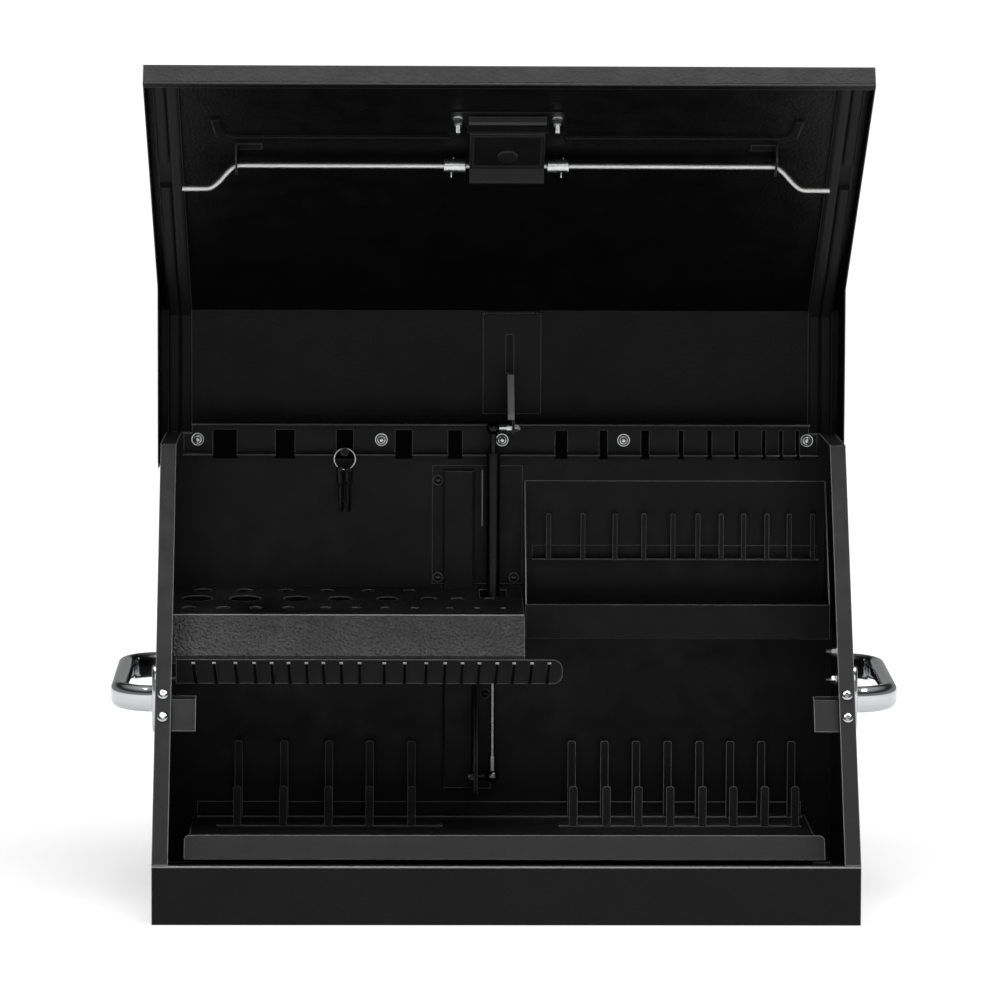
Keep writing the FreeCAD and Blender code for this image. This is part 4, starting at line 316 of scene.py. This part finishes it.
SLOPE = math.atan2(495 - 64, 270)
HINGE_Y, HINGE_Z, PANEL_Z = 219, 461, 507
FOLD_Y = 55 - 12 * math.tan(SLOPE / 2)
INNER_BACK = 213.8
INNER_X = 379.8
WALL_X = 381
RACK_SHEET = 1.5
RACK_NUTS = (-345, -136, 1.5, 140, 349)
RACK_NUT_Z = 487
# Slots of the wrench rack, as place along X and width
RACK_SLOTS = ((-314, 27), (-245.5, 21.5), (-177.5, 19), (-110.5, 19), (-52, 16), (69, 13.5), (117, 9),
              (164.5, 9), (205.5, 5.5), (238, 5), (269, 4.5), (300, 4), (319.5, 4), (338.5, 4))
COMB_FINGERS = (-340.5, -318, -294.5, -274, -255, -236.5, -217, -198.5, -179, -159, -132, -109.5, -86,
                -65.5, -46.5, -28, -8.5, 10, 29.5, 48.5)
HANDLE_LENGTH = 220
KEY_PEG_X = -177.5
SIDES = (("left", -1), ("right", 1))


def place_at(y, z, turn):
    """A frame at Y and Z, turned about X."""
    return Matrix.Translation((0, y, z)) @ Matrix.Rotation(turn, 4, "X")


CASE = Matrix()
CASE_SLOPE = place_at(-215, 64, SLOPE)
LID_SLOPE = place_at(HINGE_Y + PANEL_Z - HINGE_Z, HINGE_Z + HINGE_Y - FOLD_Y, math.pi / 2 + SLOPE)
RODS = LID_SLOPE @ place_at(352, 12, math.radians(90 + 28))
HANDLE = place_at(-83.6, 228, math.radians(2.6))
TO_FRONT = Matrix.Rotation(math.pi / 2, 4, "X")


def to_side(side):
    """Turn Z towards the left (-1) or the right (1)."""
    return Matrix.Rotation(side * math.pi / 2, 4, "Y")


def node_box(name):
    """The box of a node, in millimetres."""
    return [[value / MM for value in corner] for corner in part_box(name)]


# Making and finishing pieces

def finish(name, shape, material, body, replaced=(), place=CASE, sharp=40):
    """Turn a shape in millimetres into a piece that rides on a body."""
    bmesh.ops.remove_doubles(shape, verts=shape.verts, dist=0.001)
    bmesh.ops.recalc_face_normals(shape, faces=shape.faces)
    bmesh.ops.transform(shape, matrix=Matrix.Scale(MM, 4) @ place, verts=shape.verts)
    mesh = bpy.data.meshes.new(name)
    shape.to_mesh(mesh)
    shape.free()
    mesh.materials.append(material)
    mesh.shade_smooth()
    mesh.set_sharp_from_angle(angle=math.radians(sharp))
    piece = bpy.data.objects.new(name, mesh)
    bpy.context.scene.collection.objects.link(piece)
    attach(piece, body)
    if replaced:
        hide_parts(*replaced)
    return piece


def put(shape, part, place=CASE):
    """Add a part to a shape, at a place."""
    bmesh.ops.remove_doubles(part, verts=part.verts, dist=0.001)
    bmesh.ops.transform(part, matrix=place, verts=part.verts)
    mesh = bpy.data.meshes.new("part")
    part.to_mesh(mesh)
    part.free()
    shape.from_mesh(mesh)
    bpy.data.meshes.remove(mesh)


def turned(profile, segments=24):
    """A part turned about Z, from a profile of radius and height."""
    part = bmesh.new()
    points = [part.verts.new((radius, 0, height)) for radius, height in profile]
    edges = [part.edges.new(pair) for pair in zip(points, points[1:])]
    bmesh.ops.spin(part, geom=points + edges, cent=(0, 0, 0), axis=(0, 0, 1), angle=2 * math.pi,
                   steps=segments, use_merge=True)
    return part


def block(size, middle=(0, 0, 0), edge=0.0, segments=2):
    """A block with rounded edges."""
    part = bmesh.new()
    bmesh.ops.create_cube(part, size=1)
    bmesh.ops.scale(part, vec=size, verts=part.verts)
    bmesh.ops.translate(part, vec=middle, verts=part.verts)
    if edge:
        bmesh.ops.bevel(part, geom=part.edges[:], offset=edge, segments=segments, affect="EDGES",
                        profile=0.5, material=-1)
    return part


def hexagon_nut(flats, height, low=0.0):
    """A hexagon nut on a level, chamfered on top."""
    part = bmesh.new()
    bmesh.ops.create_circle(part, segments=6, radius=flats / math.sqrt(3), cap_ends=True)
    bmesh.ops.translate(part, vec=(0, 0, low), verts=part.verts)
    raised = bmesh.ops.extrude_face_region(part, geom=part.faces[:])["geom"]
    top = [item for item in raised if isinstance(item, bmesh.types.BMVert)]
    bmesh.ops.translate(part, vec=(0, 0, height), verts=top)
    rim = [edge for edge in part.edges if all(vertex in top for vertex in edge.verts)]
    bmesh.ops.bevel(part, geom=rim, offset=height * 0.16, segments=2, affect="EDGES", profile=0.5,
                    material=-1)
    return part


def threads(radius, low, high):
    """A threaded end, its threads drawn 1 mm apart so that they show."""
    profile = [(0, low), (radius, low)]
    count = max(1, round(high - low))
    for turn in range(count):
        level = low + (high - low) * turn / count
        profile += [(radius, level + 0.2), (radius * 0.86, level + 0.6)]
    return turned(profile + [(radius * 0.8, high - 0.1), (radius * 0.6, high), (0, high)], 16)


def bolted(shape, place, flats=8.6, height=5, bolt=2.6, reach=2, ring=7.4, turn=0.0):
    """A nut on a dished washer and the bolt's end, at a place and along its Z."""
    place = place @ Matrix.Rotation(math.radians(turn), 4, "Z")
    inner = flats / 2
    if ring:
        put(shape, turned([(bolt, 0), (ring, 0), (ring, 0.8), (ring - 0.3, 1.2), (ring - 0.9, 1.2),
                           (inner + 0.1, 0.3), (bolt, 0.3)]), place)
    nut = hexagon_nut(flats, height + (1 if ring else 0), 0.3)
    put(shape, nut, place)
    top = height + (1.3 if ring else 0.3)
    put(shape, turned([(bolt, top - 0.6), (inner - 0.5, top - 0.6), (inner - 0.5, top + 0.25),
                       (inner - 0.9, top + 0.4), (bolt + 0.5, top - 0.5), (bolt, top - 0.6)]), place)
    put(shape, threads(bolt, top - 0.6, top + reach), place)


def painted_shade_nut_rings():
    """Painted shade: a dark rubber ring round a nut and a dark ring in its top, standing in for the shadow at
    the nut's foot and in its bore.
    """
    rings = turned([(5.05, 0.4), (6.0, 0.4), (6.1, 1.2), (5.6, 1.5), (5.05, 1.3), (5.05, 0.4)])
    put(rings, turned([(2.62, 5.4), (3.5, 5.4), (3.5, 6.7), (3.1, 7.0), (2.62, 6.9), (2.62, 5.4)]))
    return rings


def bent_wire(points, radius, name):
    """A round wire along some points, as a mesh in millimetres."""
    curve = bpy.data.curves.new(name, "CURVE")
    curve.dimensions = "3D"
    curve.bevel_depth = radius
    curve.bevel_resolution = 3
    curve.use_fill_caps = True
    curve.resolution_u = 6
    spline = curve.splines.new("NURBS")
    spline.points.add(len(points) - 1)
    for point, place in zip(spline.points, points):
        point.co = (*place, 1)
    spline.order_u = 3
    spline.use_endpoint_u = True
    holder = bpy.data.objects.new(name, curve)
    mesh = bpy.data.meshes.new_from_object(holder)
    part = bmesh.new()
    part.from_mesh(mesh)
    bpy.data.objects.remove(holder)
    bpy.data.curves.remove(curve)
    bpy.data.meshes.remove(mesh)
    return part


# Fasteners

def make_fasteners():
    """Nuts, washers and bolt ends that the CAD keeps plain."""
    rack = bmesh.new()
    rings = bmesh.new()
    for place, x in enumerate(RACK_NUTS):
        spot = Matrix.Translation((x, INNER_BACK - RACK_SHEET, RACK_NUT_Z)) @ TO_FRONT
        bolted(rack, spot, turn=17 * place)
        put(rings, painted_shade_nut_rings(), spot)
    finish("rack_nuts", rack, ZINC, "case", ["rack_bolts"])
    # The dark rings are painted shade round and inside each rack nut
    finish("rack_nut_rings", rings, RUBBER, "case")

    wall = bmesh.new()
    for name, side in SIDES:
        for y in (0, HANDLE_LENGTH):
            for end in (-1, 1):
                spot = Matrix.Translation((side * INNER_X, y, end * 16)) @ to_side(-side)
                bolted(wall, spot, reach=6, turn=23 * end + y / 9)
    finish("handle_nuts", wall, ZINC, "case", ["handle_bolts"], HANDLE)

    studs = bmesh.new()
    for name, side in SIDES:
        spot = Matrix.Translation((side * 53.5, 436, 1.6))
        bolted(studs, spot, flats=8, height=8, bolt=2.4, reach=9.4, ring=5.8, turn=12 * side)
    finish("stud_nuts", studs, ZINC, "lid", ["latch_studs"], LID_SLOPE)

    plate = bmesh.new()
    for x, z in ((-71.4, 440.8), (-71.4, 329.6), (15.4, 329.6), (-17, 195.8)):
        spot = Matrix.Translation((x, INNER_BACK - RACK_SHEET, z)) @ TO_FRONT
        put(plate, turned([(0, 0), (5.9, 0), (5.9, 0.7), (5.6, 1), (4.4, 1), (4.3, 2), (3.4, 3.3),
                           (1.6, 3.9), (0, 4)]), spot)
        put(plate, block((5.6, 0.9, 1.4), (0, 0, 4.0), 0.2), spot)
    finish("plate_screws", plate, SMOOTH_COAT, "case", ["plate_bolts"])

    catch = bmesh.new()
    for name, side in SIDES:
        for end in (-1, 1):
            spot = Matrix.Translation((side * (WALL_X - 8.75), 189 + end * 13.5, 0))
            put(catch, domed_screw(6.4, 3.2), spot @ Matrix.Rotation(0.5 * end + side, 4, "Z"))
    finish("catch_screw_heads", catch, CHROME, "case", ["catch_screws"], CASE_SLOPE)


def domed_screw(radius, rise):
    """A button head with a hexagon socket."""
    part = bmesh.new()
    profile = [(radius, 0), (radius, 0.5), (radius * 0.93, rise * 0.5), (radius * 0.74, rise * 0.86),
               (radius * 0.5, rise)]
    points = [part.verts.new((wide, 0, high)) for wide, high in profile]
    edges = [part.edges.new(pair) for pair in zip(points, points[1:])]
    bmesh.ops.spin(part, geom=points + edges, cent=(0, 0, 0), axis=(0, 0, 1), angle=2 * math.pi, steps=24,
                   use_merge=True)
    bmesh.ops.remove_doubles(part, verts=part.verts, dist=0.001)
    rim = [edge for edge in part.edges if edge.is_boundary and edge.verts[0].co.z > rise / 2]
    foot = [edge for edge in part.edges if edge.is_boundary and edge.verts[0].co.z < rise / 2]
    bmesh.ops.contextual_create(part, geom=foot)
    socket = bmesh.ops.create_circle(part, segments=6, radius=radius * 0.36)["verts"]
    bmesh.ops.translate(part, vec=(0, 0, rise), verts=socket)
    sides = [edge for edge in part.edges if all(vertex in socket for vertex in edge.verts)]
    bmesh.ops.bridge_loops(part, edges=rim + sides)
    floor = bmesh.ops.extrude_edge_only(part, edges=sides)["geom"]
    low = [item for item in floor if isinstance(item, bmesh.types.BMVert)]
    bmesh.ops.translate(part, vec=(0, 0, -rise * 0.6), verts=low)
    bmesh.ops.contextual_create(part, geom=[edge for edge in part.edges
                                            if all(vertex in low for vertex in edge.verts)])
    return part


# Side handles

def make_handle(name, side):
    """A cast bow that flares into an upright foot at each end."""
    shape = bmesh.new()
    wall, length = WALL_X, HANDLE_LENGTH
    reach, corner, half_height, half_width, rounding = 41.5, 38, 14.5, 10, 9.8
    bmesh.ops.create_circle(shape, segments=4, radius=1, cap_ends=True)
    bmesh.ops.rotate(shape, cent=(0, 0, 0), matrix=Matrix.Rotation(math.pi / 4, 3, "Z"), verts=shape.verts)
    bmesh.ops.scale(shape, vec=(half_height * math.sqrt(2), half_width * math.sqrt(2), 1), verts=shape.verts)
    bmesh.ops.bevel(shape, geom=shape.verts[:], offset=rounding, segments=6, affect="VERTICES", profile=0.5,
                    material=-1)
    bmesh.ops.rotate(shape, cent=(0, 0, 0), matrix=Matrix.Rotation(math.pi / 2, 3, "Y"), verts=shape.verts)
    bmesh.ops.translate(shape, vec=(side * (wall + 2), 0, 0), verts=shape.verts)
    flares = [shape.verts[:]]
    loop = shape.edges[:]
    bmesh.ops.delete(shape, geom=shape.faces[:], context="FACES_ONLY")
    for step in range(3):
        loop = drawn_out(shape, loop, (side * (reach - corner - 2) / 3, 0, 0))
        flares.append(list({vertex for edge in loop for vertex in edge.verts}))
    loop = swung(shape, loop, (side * (wall + reach - corner), corner, 0), side)
    loop = drawn_out(shape, loop, (0, length - 2 * corner, 0))
    loop = swung(shape, loop, (side * (wall + reach - corner), length - corner, 0), side)
    for step in range(3):
        loop = drawn_out(shape, loop, (-side * (reach - corner - 2) / 3, 0, 0))
        flares.append(list({vertex for edge in loop for vertex in edge.verts}))
    widths = (1.18, 1.1, 1.04, 1.0)
    for verts, wide, y in zip(flares, widths + widths[2::-1], (0,) * 4 + (length,) * 3):
        middle = Matrix.Translation((0, -y, 0))
        bmesh.ops.scale(shape, vec=(1, wide, 1 + (wide - 1) * 0.6), space=middle, verts=verts)
    for y in (0, length):
        foot = bmesh.new()
        bmesh.ops.create_circle(foot, segments=28, radius=1, cap_ends=True)
        bmesh.ops.scale(foot, vec=(37, 13, 1), verts=foot.verts)
        raised = bmesh.ops.extrude_face_region(foot, geom=foot.faces[:])["geom"]
        top = [item for item in raised if isinstance(item, bmesh.types.BMVert)]
        bmesh.ops.translate(foot, vec=(0, 0, 4), verts=top)
        rim = [edge for edge in foot.edges if all(vertex in top for vertex in edge.verts)]
        bmesh.ops.bevel(foot, geom=rim, offset=2, segments=3, affect="EDGES", profile=0.5, material=-1)
        put(shape, foot, Matrix.Translation((side * wall, y, 0)) @ to_side(side))
    finish(f"grip_{name}", shape, CHROME, "case", [f"handle_{name}"], HANDLE, sharp=60)


def drawn_out(shape, loop, way):
    """Extrude a loop of edges by a vector, and give back the new loop."""
    made = bmesh.ops.extrude_edge_only(shape, edges=loop)["geom"]
    bmesh.ops.translate(shape, vec=way, verts=[item for item in made if isinstance(item, bmesh.types.BMVert)])
    return [item for item in made if isinstance(item, bmesh.types.BMEdge) and item.is_boundary]


def swung(shape, loop, centre, side):
    """Swing a loop of edges by a quarter turn about an upright axis, and give back the new loop."""
    verts = list({vertex for edge in loop for vertex in edge.verts})
    last = bmesh.ops.spin(shape, geom=verts + loop, cent=centre, axis=(0, 0, 1), angle=side * math.pi / 2,
                          steps=10)["geom_last"]
    return [item for item in last if isinstance(item, bmesh.types.BMEdge)]


# Latch: cover of the housing, brow over it, cotter pins, pins of the couplers

def make_latch_details():
    """The latch as seen inside the open lid, from its housing's cover to its cotter pins."""
    cover = bmesh.new()
    lean = math.atan2(5, 64)
    plate = block((81, 62, 1.6), edge=0.5)
    top = max(plate.faces, key=lambda face: face.calc_center_median().z)
    bmesh.ops.inset_region(plate, faces=[top], thickness=6)
    bmesh.ops.translate(plate, vec=(0, 0, -1.1), verts=top.verts)
    spot = Matrix.Translation((0, 404, 24.5)) @ Matrix.Rotation(-lean, 4, "X")
    put(cover, plate, spot @ Matrix.Translation((0, 0, 0.3)))
    put(cover, turned([(0, 0), (11, 0), (10.6, 0.8), (9, 1.3), (0, 1.4)], 32),
        spot @ Matrix.Translation((0.5, -9, -0.1)))
    finish("latch_cover", cover, PAINTED_LIGHT_HOUSING_COAT, "lid", place=LID_SLOPE)

    brow = bmesh.new()
    ends = [brow.verts.new((x, 438.5, 0.6)) for x in (-42, 42)]
    line = drawn_out(brow, [brow.edges.new(ends)], (0, 0, 11))
    points = list({vertex for edge in line for vertex in edge.verts})
    # From here the sheet rolls outwards over the cover's upper edge
    bmesh.ops.spin(brow, geom=points + line, cent=(0, 445.5, 11.6), axis=(1, 0, 0), angle=math.radians(80),
                   steps=8)
    bmesh.ops.recalc_face_normals(brow, faces=brow.faces)
    bmesh.ops.solidify(brow, geom=brow.faces[:], thickness=1.2)
    finish("latch_brow", brow, PAINTED_LIGHT_RACK_COAT, "lid", place=LID_SLOPE)

    pins = bmesh.new()
    for name, side in SIDES:
        loop = [(0, -3, 8), (0, 0, 8.2), (0, 6, 8.4), (0, 9, 10.6), (0, 12.5, 9.8), (0, 12, 7.6), (0, 8, 7.4),
                (0.5, 4, 8), (1.5, -4, 8), (2.4, -9, 8.6), (2.8, -12, 9.4)]
        put(pins, bent_wire(loop, 0.8, "cotter"), Matrix.Translation((side * 60, 0, 0)))
        put(pins, turned([(0, 7), (2.6, 7), (2.6, 8.2), (2, 8.7), (0, 8.8)], 16),
            Matrix.Translation((side * 52, 0, 0)))
    finish("cotter_wires", pins, ZINC, "latch_bar", ["cotter_pins"], RODS)


def make_rods():
    """Cold-bent rods, whose bends are wide, with cut and broken ends."""
    for name, side in SIDES:
        route = [(47, 0), (150, 0), (284, 0), (298, 0), (319, 25.4), (333, 25.4), (345, 25.4), (353, 25.4)]
        rod = bmesh.new()
        put(rod, bent_wire([(side * x, y, 0) for x, y in route], 3.2, "rod"))
        finish(f"bent_rod_{name}", rod, ROD, "latch_bar", [f"latch_rod_{name}"], RODS)


# Gas strut: ball stud, crimped end

def make_strut_details():
    """Ball stud, the barrel's crimped end and collar, and the nut at the strut's foot."""
    stud = bmesh.new()
    spot = Matrix.Translation((0, 182, 503)) @ to_side(1)
    ball = [(0, -14), (2.2, -13.6), (3.9, -12.1), (4.8, -10.4), (5, -9), (4.8, -7.6), (4, -6), (3, -5),
            (3, 6), (5.2, 6), (5.2, 11.8), (3, 12), (0, 12)]
    put(stud, turned(ball), spot)
    bolted(stud, spot @ Matrix.Translation((0, 0, 15)), bolt=3, reach=1.4, ring=0, turn=8)
    finish("ball_stud", stud, ZINC, "lid", ["strut_ball_stud"])

    lean = place_at(182, 503, math.atan2(170 - 182, 503 - 106))
    collar = bmesh.new()
    put(collar, turned([(3.8, -31), (5.4, -30.6), (7.9, -28.6), (7.9, -26), (7.6, -25.4), (3.8, -25)]),
        Matrix.Translation((-9, 0, -2)))
    put(collar, turned([(3.2, 0), (7.9, 0), (7.9, 2.2), (7.5, 2.8), (7.5, 6), (8, 6.6), (7.5, 7.4)]),
        Matrix.Translation((-9, 0, -269.5)))
    finish("strut_collar", collar, ENAMEL, "strut_barrel", place=lean)

    nut = bmesh.new()
    bolted(nut, Matrix.Translation((-30, 168.8, 106)) @ to_side(-1), bolt=3, reach=1.2, ring=0, turn=15)
    finish("foot_nut", nut, ZINC, "case")


def make_tab_edge():
    """The front of the lid's tab, a broad cut edge, with a pale strip laid on it as a painted highlight."""
    edge = bmesh.new()
    put(edge, block((7.4, 0.5, 7), (0, 0, 3.5), 0.15), Matrix.Translation((11, 171.9, 513)))
    lean = Matrix.Rotation(-math.atan2(37.4, 42), 4, "X")
    put(edge, block((7.4, 0.5, 55.5), (0, 0, 27.9), 0.15), Matrix.Translation((11, 171.9, 520)) @ lean)
    finish("worn_tab_edge", edge, PAINTED_HIGHLIGHT_COAT, "lid")


def make_shelf_bend():
    """The shelf's front bend, with a pale rounded ridge laid along it as a painted highlight."""
    ridge = turned([(0, -379.3), (0.5, -379.3), (0.9, -378.8), (0.9, 23.2), (0.5, 23.7), (0, 23.7)], 10)
    spot = Matrix.Translation((0, 45.9, 304.9)) @ to_side(1)
    finish("shelf_bend", ridge, PAINTED_HIGHLIGHT_COAT, "case", place=spot)


def make_painted_highlight_edges():
    """Cut edges that face the front, with thin pale strips laid along them as a painted highlight."""
    edges = bmesh.new()
    plate_low, plate_high = node_box("strut_plate")
    fin_x, fin_middle = -21, plate_high[2] - 36.5
    put(edges, block((1.7, 0.5, 64), (fin_x, plate_low[1] + 0.1, fin_middle), 0.15))
    comb_low, comb_high = node_box("comb_rack")
    for x in COMB_FINGERS:
        put(edges, block((3.6, 0.5, 2.2), (x, comb_low[1] + 0.1, comb_high[2] - 1.2), 0.15))
    put(edges, block((343, 1.5, 0.5), (199, INNER_BACK - 0.75, 440.45), 0.15))
    # The bin's ends slope from its back's top edge down to its lip
    back, front, high, low = INNER_BACK - 3.6, 128.8, 440.5, 308
    lean = place_at((back + front) / 2, (high + low) / 2, -math.atan2(back - front, high - low))
    for x in (27.7, 370.3):
        put(edges, block((1.5, 0.4, math.hypot(back - front, high - low) - 2), (x, 0, 0), 0.15), lean)
    finish("pale_edges", edges, PAINTED_HIGHLIGHT_COAT, "case")


# Painted shade: felt behind the slots of the wrench rack, standing in for the shadow there

def make_slot_shade_felt():
    """A strip of near-black felt behind each slot, as painted shade for the shadow in the slot."""
    felt = bmesh.new()
    for x, width in RACK_SLOTS:
        pad = block((width + 1, 0.5, 33), (x, INNER_BACK - 0.35, 481.5))
        bmesh.ops.bevel(pad, geom=pad.verts[:], offset=0.4, segments=2, affect="VERTICES", profile=0.5,
                        material=-1)
        put(felt, pad)
    finish("slot_felt", felt, SLOT_SHADE_FELT, "case")


# Weld along the top of the lid's plate

def make_weld():
    """A hand-laid bead, a row of overlapping ripples along the plate's upper edge."""
    bead = bmesh.new()
    bmesh.ops.create_cone(bead, cap_ends=True, segments=10, radius1=1.9, radius2=1.9, depth=64)
    bmesh.ops.bisect_plane(bead, geom=bead.verts[:] + bead.edges[:] + bead.faces[:], plane_co=(0, 0, 0),
                           plane_no=(0, 0, 1))
    long = [edge for edge in bead.edges if abs(edge.verts[0].co.z - edge.verts[1].co.z) > 1]
    bmesh.ops.subdivide_edges(bead, edges=long, cuts=31, use_grid_fill=True)
    for vertex in bead.verts:
        ripple = 1 + 0.3 * math.sin(vertex.co.z * 2.1) + 0.5 * noise.noise(vertex.co * 0.35)
        vertex.co.x *= ripple
        vertex.co.y *= ripple
    along_x = Matrix.Translation((13.5, 263.2, 628.5)) @ Matrix.Rotation(math.pi / 2, 4, "Y")
    finish("plate_weld", bead, SMOOTH_COAT, "lid", place=along_x, sharp=80)


# Keys on their ring

def make_key(name, side):
    """A flat key that hangs at an angle to the front, with a moulded head and a cut blade."""
    turn = Matrix.Rotation(math.radians(50 + 5 * side), 4, "Z")
    spot = Matrix.Translation((KEY_PEG_X + side * 4.4, INNER_BACK - 22, key_height())) @ turn
    blade = bmesh.new()
    put(blade, block((5.6, 2, 34), (0, 0, -26), 0.4))
    for place, deep in enumerate((1.4, 2.2, 1.1, 2.6, 1.8)):
        put(blade, block((deep, 2.1, 2.6), (3, 0, -21 - 4.4 * place), 0.3))
    finish(f"key_blade_{name}", blade, NICKEL, "keys", place=spot)
    head = block((11, 4, 21), (0, 0, -1), 0)
    upright = [edge for edge in head.edges if abs(edge.verts[0].co.y - edge.verts[1].co.y) > 1]
    bmesh.ops.bevel(head, geom=upright, offset=4, segments=6, affect="EDGES", profile=0.5, material=-1)
    rim = [edge for edge in head.edges if abs(edge.verts[0].co.y - edge.verts[1].co.y) < 0.1]
    bmesh.ops.bevel(head, geom=rim, offset=0.8, segments=2, affect="EDGES", profile=0.5, material=-1)
    finish(f"key_head_{name}", head, ABS, "keys", [f"key_{name}"], spot)
    eye = bmesh.new()
    put(eye, turned([(1.6, -2.3), (2.5, -2.3), (2.5, -2), (2.1, -1.9), (2.1, 1.9), (2.5, 2), (2.5, 2.3),
                     (1.6, 2.3), (1.6, -2.3)], 16), Matrix.Translation((0, 0, 5.6)) @ TO_FRONT)
    finish(f"key_eyelet_{name}", eye, ZINC, "keys", place=spot)


def key_height():
    """Height of the middle of the keys' heads, whose radius is 10."""
    return node_box("key_left")[1][2] - 10


def dress():
    """Give every node that stays its finish."""
    for name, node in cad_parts.items():
        for slot in node.material_slots:
            slot.material = NODE_FINISH.get(name, SMOOTH_COAT)


# Camera, floor and light

PHOTO_SIZE = 1000
FOCAL_PIXELS = 5776.83
SENSOR = 36.0
CAMERA_PLACE = Vector((-0.12686, -6.34558, 1.04465))
CAMERA_YAW = math.radians(1.103)
CAMERA_PITCH = math.radians(5.456)
CAMERA_ROLL = math.radians(0.228)


def add_camera():
    """The camera at the photograph's viewing angle."""
    camera = bpy.data.objects.new("camera", bpy.data.cameras.new("camera"))
    camera.data.sensor_width = SENSOR
    camera.data.lens = FOCAL_PIXELS / PHOTO_SIZE * SENSOR
    camera.data.clip_end = 400
    turn = Matrix.Rotation(-CAMERA_YAW, 4, "Z") @ Matrix.Rotation(math.pi / 2 - CAMERA_PITCH, 4, "X")
    camera.matrix_world = Matrix.Translation(CAMERA_PLACE) @ turn @ Matrix.Rotation(CAMERA_ROLL, 4, "Z")
    bpy.context.scene.collection.objects.link(camera)
    bpy.context.scene.camera = camera


FLOOR_SIZE = 300.0
FLOOR_GLOW = 0.6
LIGHTS = (
    # name, place, aimed at, width, depth, watts
    ("overhead_softbox", (0.2, -1.0, 3.6), (0.0, -0.1, 0.5), 3.0, 2.2, 175),
    ("front_fill", (0.3, -5.2, 2.9), (0.0, 0.0, 0.4), 3.0, 1.6, 30),
)


def floor_material():
    """Matt white studio paper: it shows white, keeps the object's shadow and bounces little light.

    Away from the object, where the lamps don't reach, it glows the more, so it stays white.
    """
    material, tree, shader, place = new_material("white_studio_paper", Roughness=0.9,
                                                 Base_Color=linear("#6e6e6e"))
    white = add_node(tree, "ShaderNodeBsdfDiffuse", inputs={"Color": linear("#bcbcbc")})
    away = add_node(tree, "ShaderNodeVectorMath", {"Vector": place}, operation="LENGTH")
    fade = add_node(tree, "ShaderNodeMapRange", {"Value": away.outputs["Value"]},
                    {"From Min": 0.7, "From Max": 2.0, "To Min": FLOOR_GLOW, "To Max": 1.0})
    glow = add_node(tree, "ShaderNodeEmission", {"Strength": fade.outputs["Result"]})
    lit = add_node(tree, "ShaderNodeAddShader", {0: white.outputs[0], 1: glow.outputs[0]})
    path = add_node(tree, "ShaderNodeLightPath")
    seen = add_node(tree, "ShaderNodeMath",
                    {0: path.outputs["Is Camera Ray"], 1: path.outputs["Is Glossy Ray"]},
                    operation="MAXIMUM")
    through = add_node(tree, "ShaderNodeMath", {0: seen.outputs[0], 1: path.outputs["Is Transmission Ray"]},
                       operation="MAXIMUM")
    mix = add_node(tree, "ShaderNodeMixShader",
                   {0: through.outputs[0], 1: shader.outputs["BSDF"], 2: lit.outputs[0]})
    output = next(node for node in tree.nodes if node.type == "OUTPUT_MATERIAL")
    tree.links.new(mix.outputs[0], output.inputs["Surface"])
    return material


def add_floor():
    """A wide sheet of paper under the chest."""
    shape = bmesh.new()
    bmesh.ops.create_grid(shape, x_segments=1, y_segments=1, size=FLOOR_SIZE)
    mesh = bpy.data.meshes.new("floor")
    shape.to_mesh(mesh)
    shape.free()
    floor = bpy.data.objects.new("floor", mesh)
    mesh.materials.append(floor_material())
    bpy.context.scene.collection.objects.link(floor)


def add_lights():
    """The two soft lamps."""
    for name, place, target, width, depth, watts in LIGHTS:
        lamp = bpy.data.lights.new(name, "AREA")
        lamp.shape = "RECTANGLE"
        lamp.size = width
        lamp.size_y = depth
        lamp.energy = watts
        light = bpy.data.objects.new(name, lamp)
        light.location = place
        aim = Vector(target) - Vector(place)
        light.rotation_euler = aim.to_track_quat("-Z", "Y").to_euler()
        bpy.context.scene.collection.objects.link(light)


def add_world():
    """White where the camera looks. Elsewhere a studio: pale walls, a dark ceiling, a bright top."""
    world = bpy.data.worlds.new("studio")
    bpy.context.scene.world = world
    world.use_nodes = True
    tree = world.node_tree
    tree.nodes.clear()
    place = add_node(tree, "ShaderNodeTexCoord").outputs["Generated"]
    height = add_node(tree, "ShaderNodeSeparateXYZ", {"Vector": place}).outputs["Z"]
    studio = add_node(tree, "ShaderNodeValToRGB", {"Fac": height},
                      stops=[(0.0, "#9a9a9a"), (0.3, "#8c8c8c"), (0.45, "#3c3c3c"), (0.6, "#303030"),
                             (0.85, "#b8b8b8"), (1.0, "#e0e0e0")])
    path = add_node(tree, "ShaderNodeLightPath")
    strength = add_node(tree, "ShaderNodeMapRange", {"Value": path.outputs["Is Diffuse Ray"]},
                        {"To Min": 1.0, "To Max": 0.3})
    around = add_node(tree, "ShaderNodeBackground",
                      {"Color": studio.outputs["Color"], "Strength": strength.outputs["Result"]})
    white = add_node(tree, "ShaderNodeBackground", inputs={"Color": linear("#ffffff"), "Strength": 1.0})
    seen = add_node(tree, "ShaderNodeMath",
                    {0: path.outputs["Is Camera Ray"], 1: path.outputs["Is Transmission Ray"]},
                    operation="MAXIMUM")
    mix = add_node(tree, "ShaderNodeMixShader",
                   {0: seen.outputs[0], 1: around.outputs[0], 2: white.outputs[0]})
    add_node(tree, "ShaderNodeOutputWorld", {"Surface": mix.outputs[0]})


bpy.context.scene.view_settings.view_transform = "Standard"
add_camera()
add_floor()
add_lights()
add_world()

dress()
make_fasteners()
make_latch_details()
make_rods()
make_strut_details()
make_tab_edge()
make_shelf_bend()
make_painted_highlight_edges()
make_slot_shade_felt()
make_weld()
for hand, sign in SIDES:
    make_handle(hand, sign)
    make_key(hand, sign)
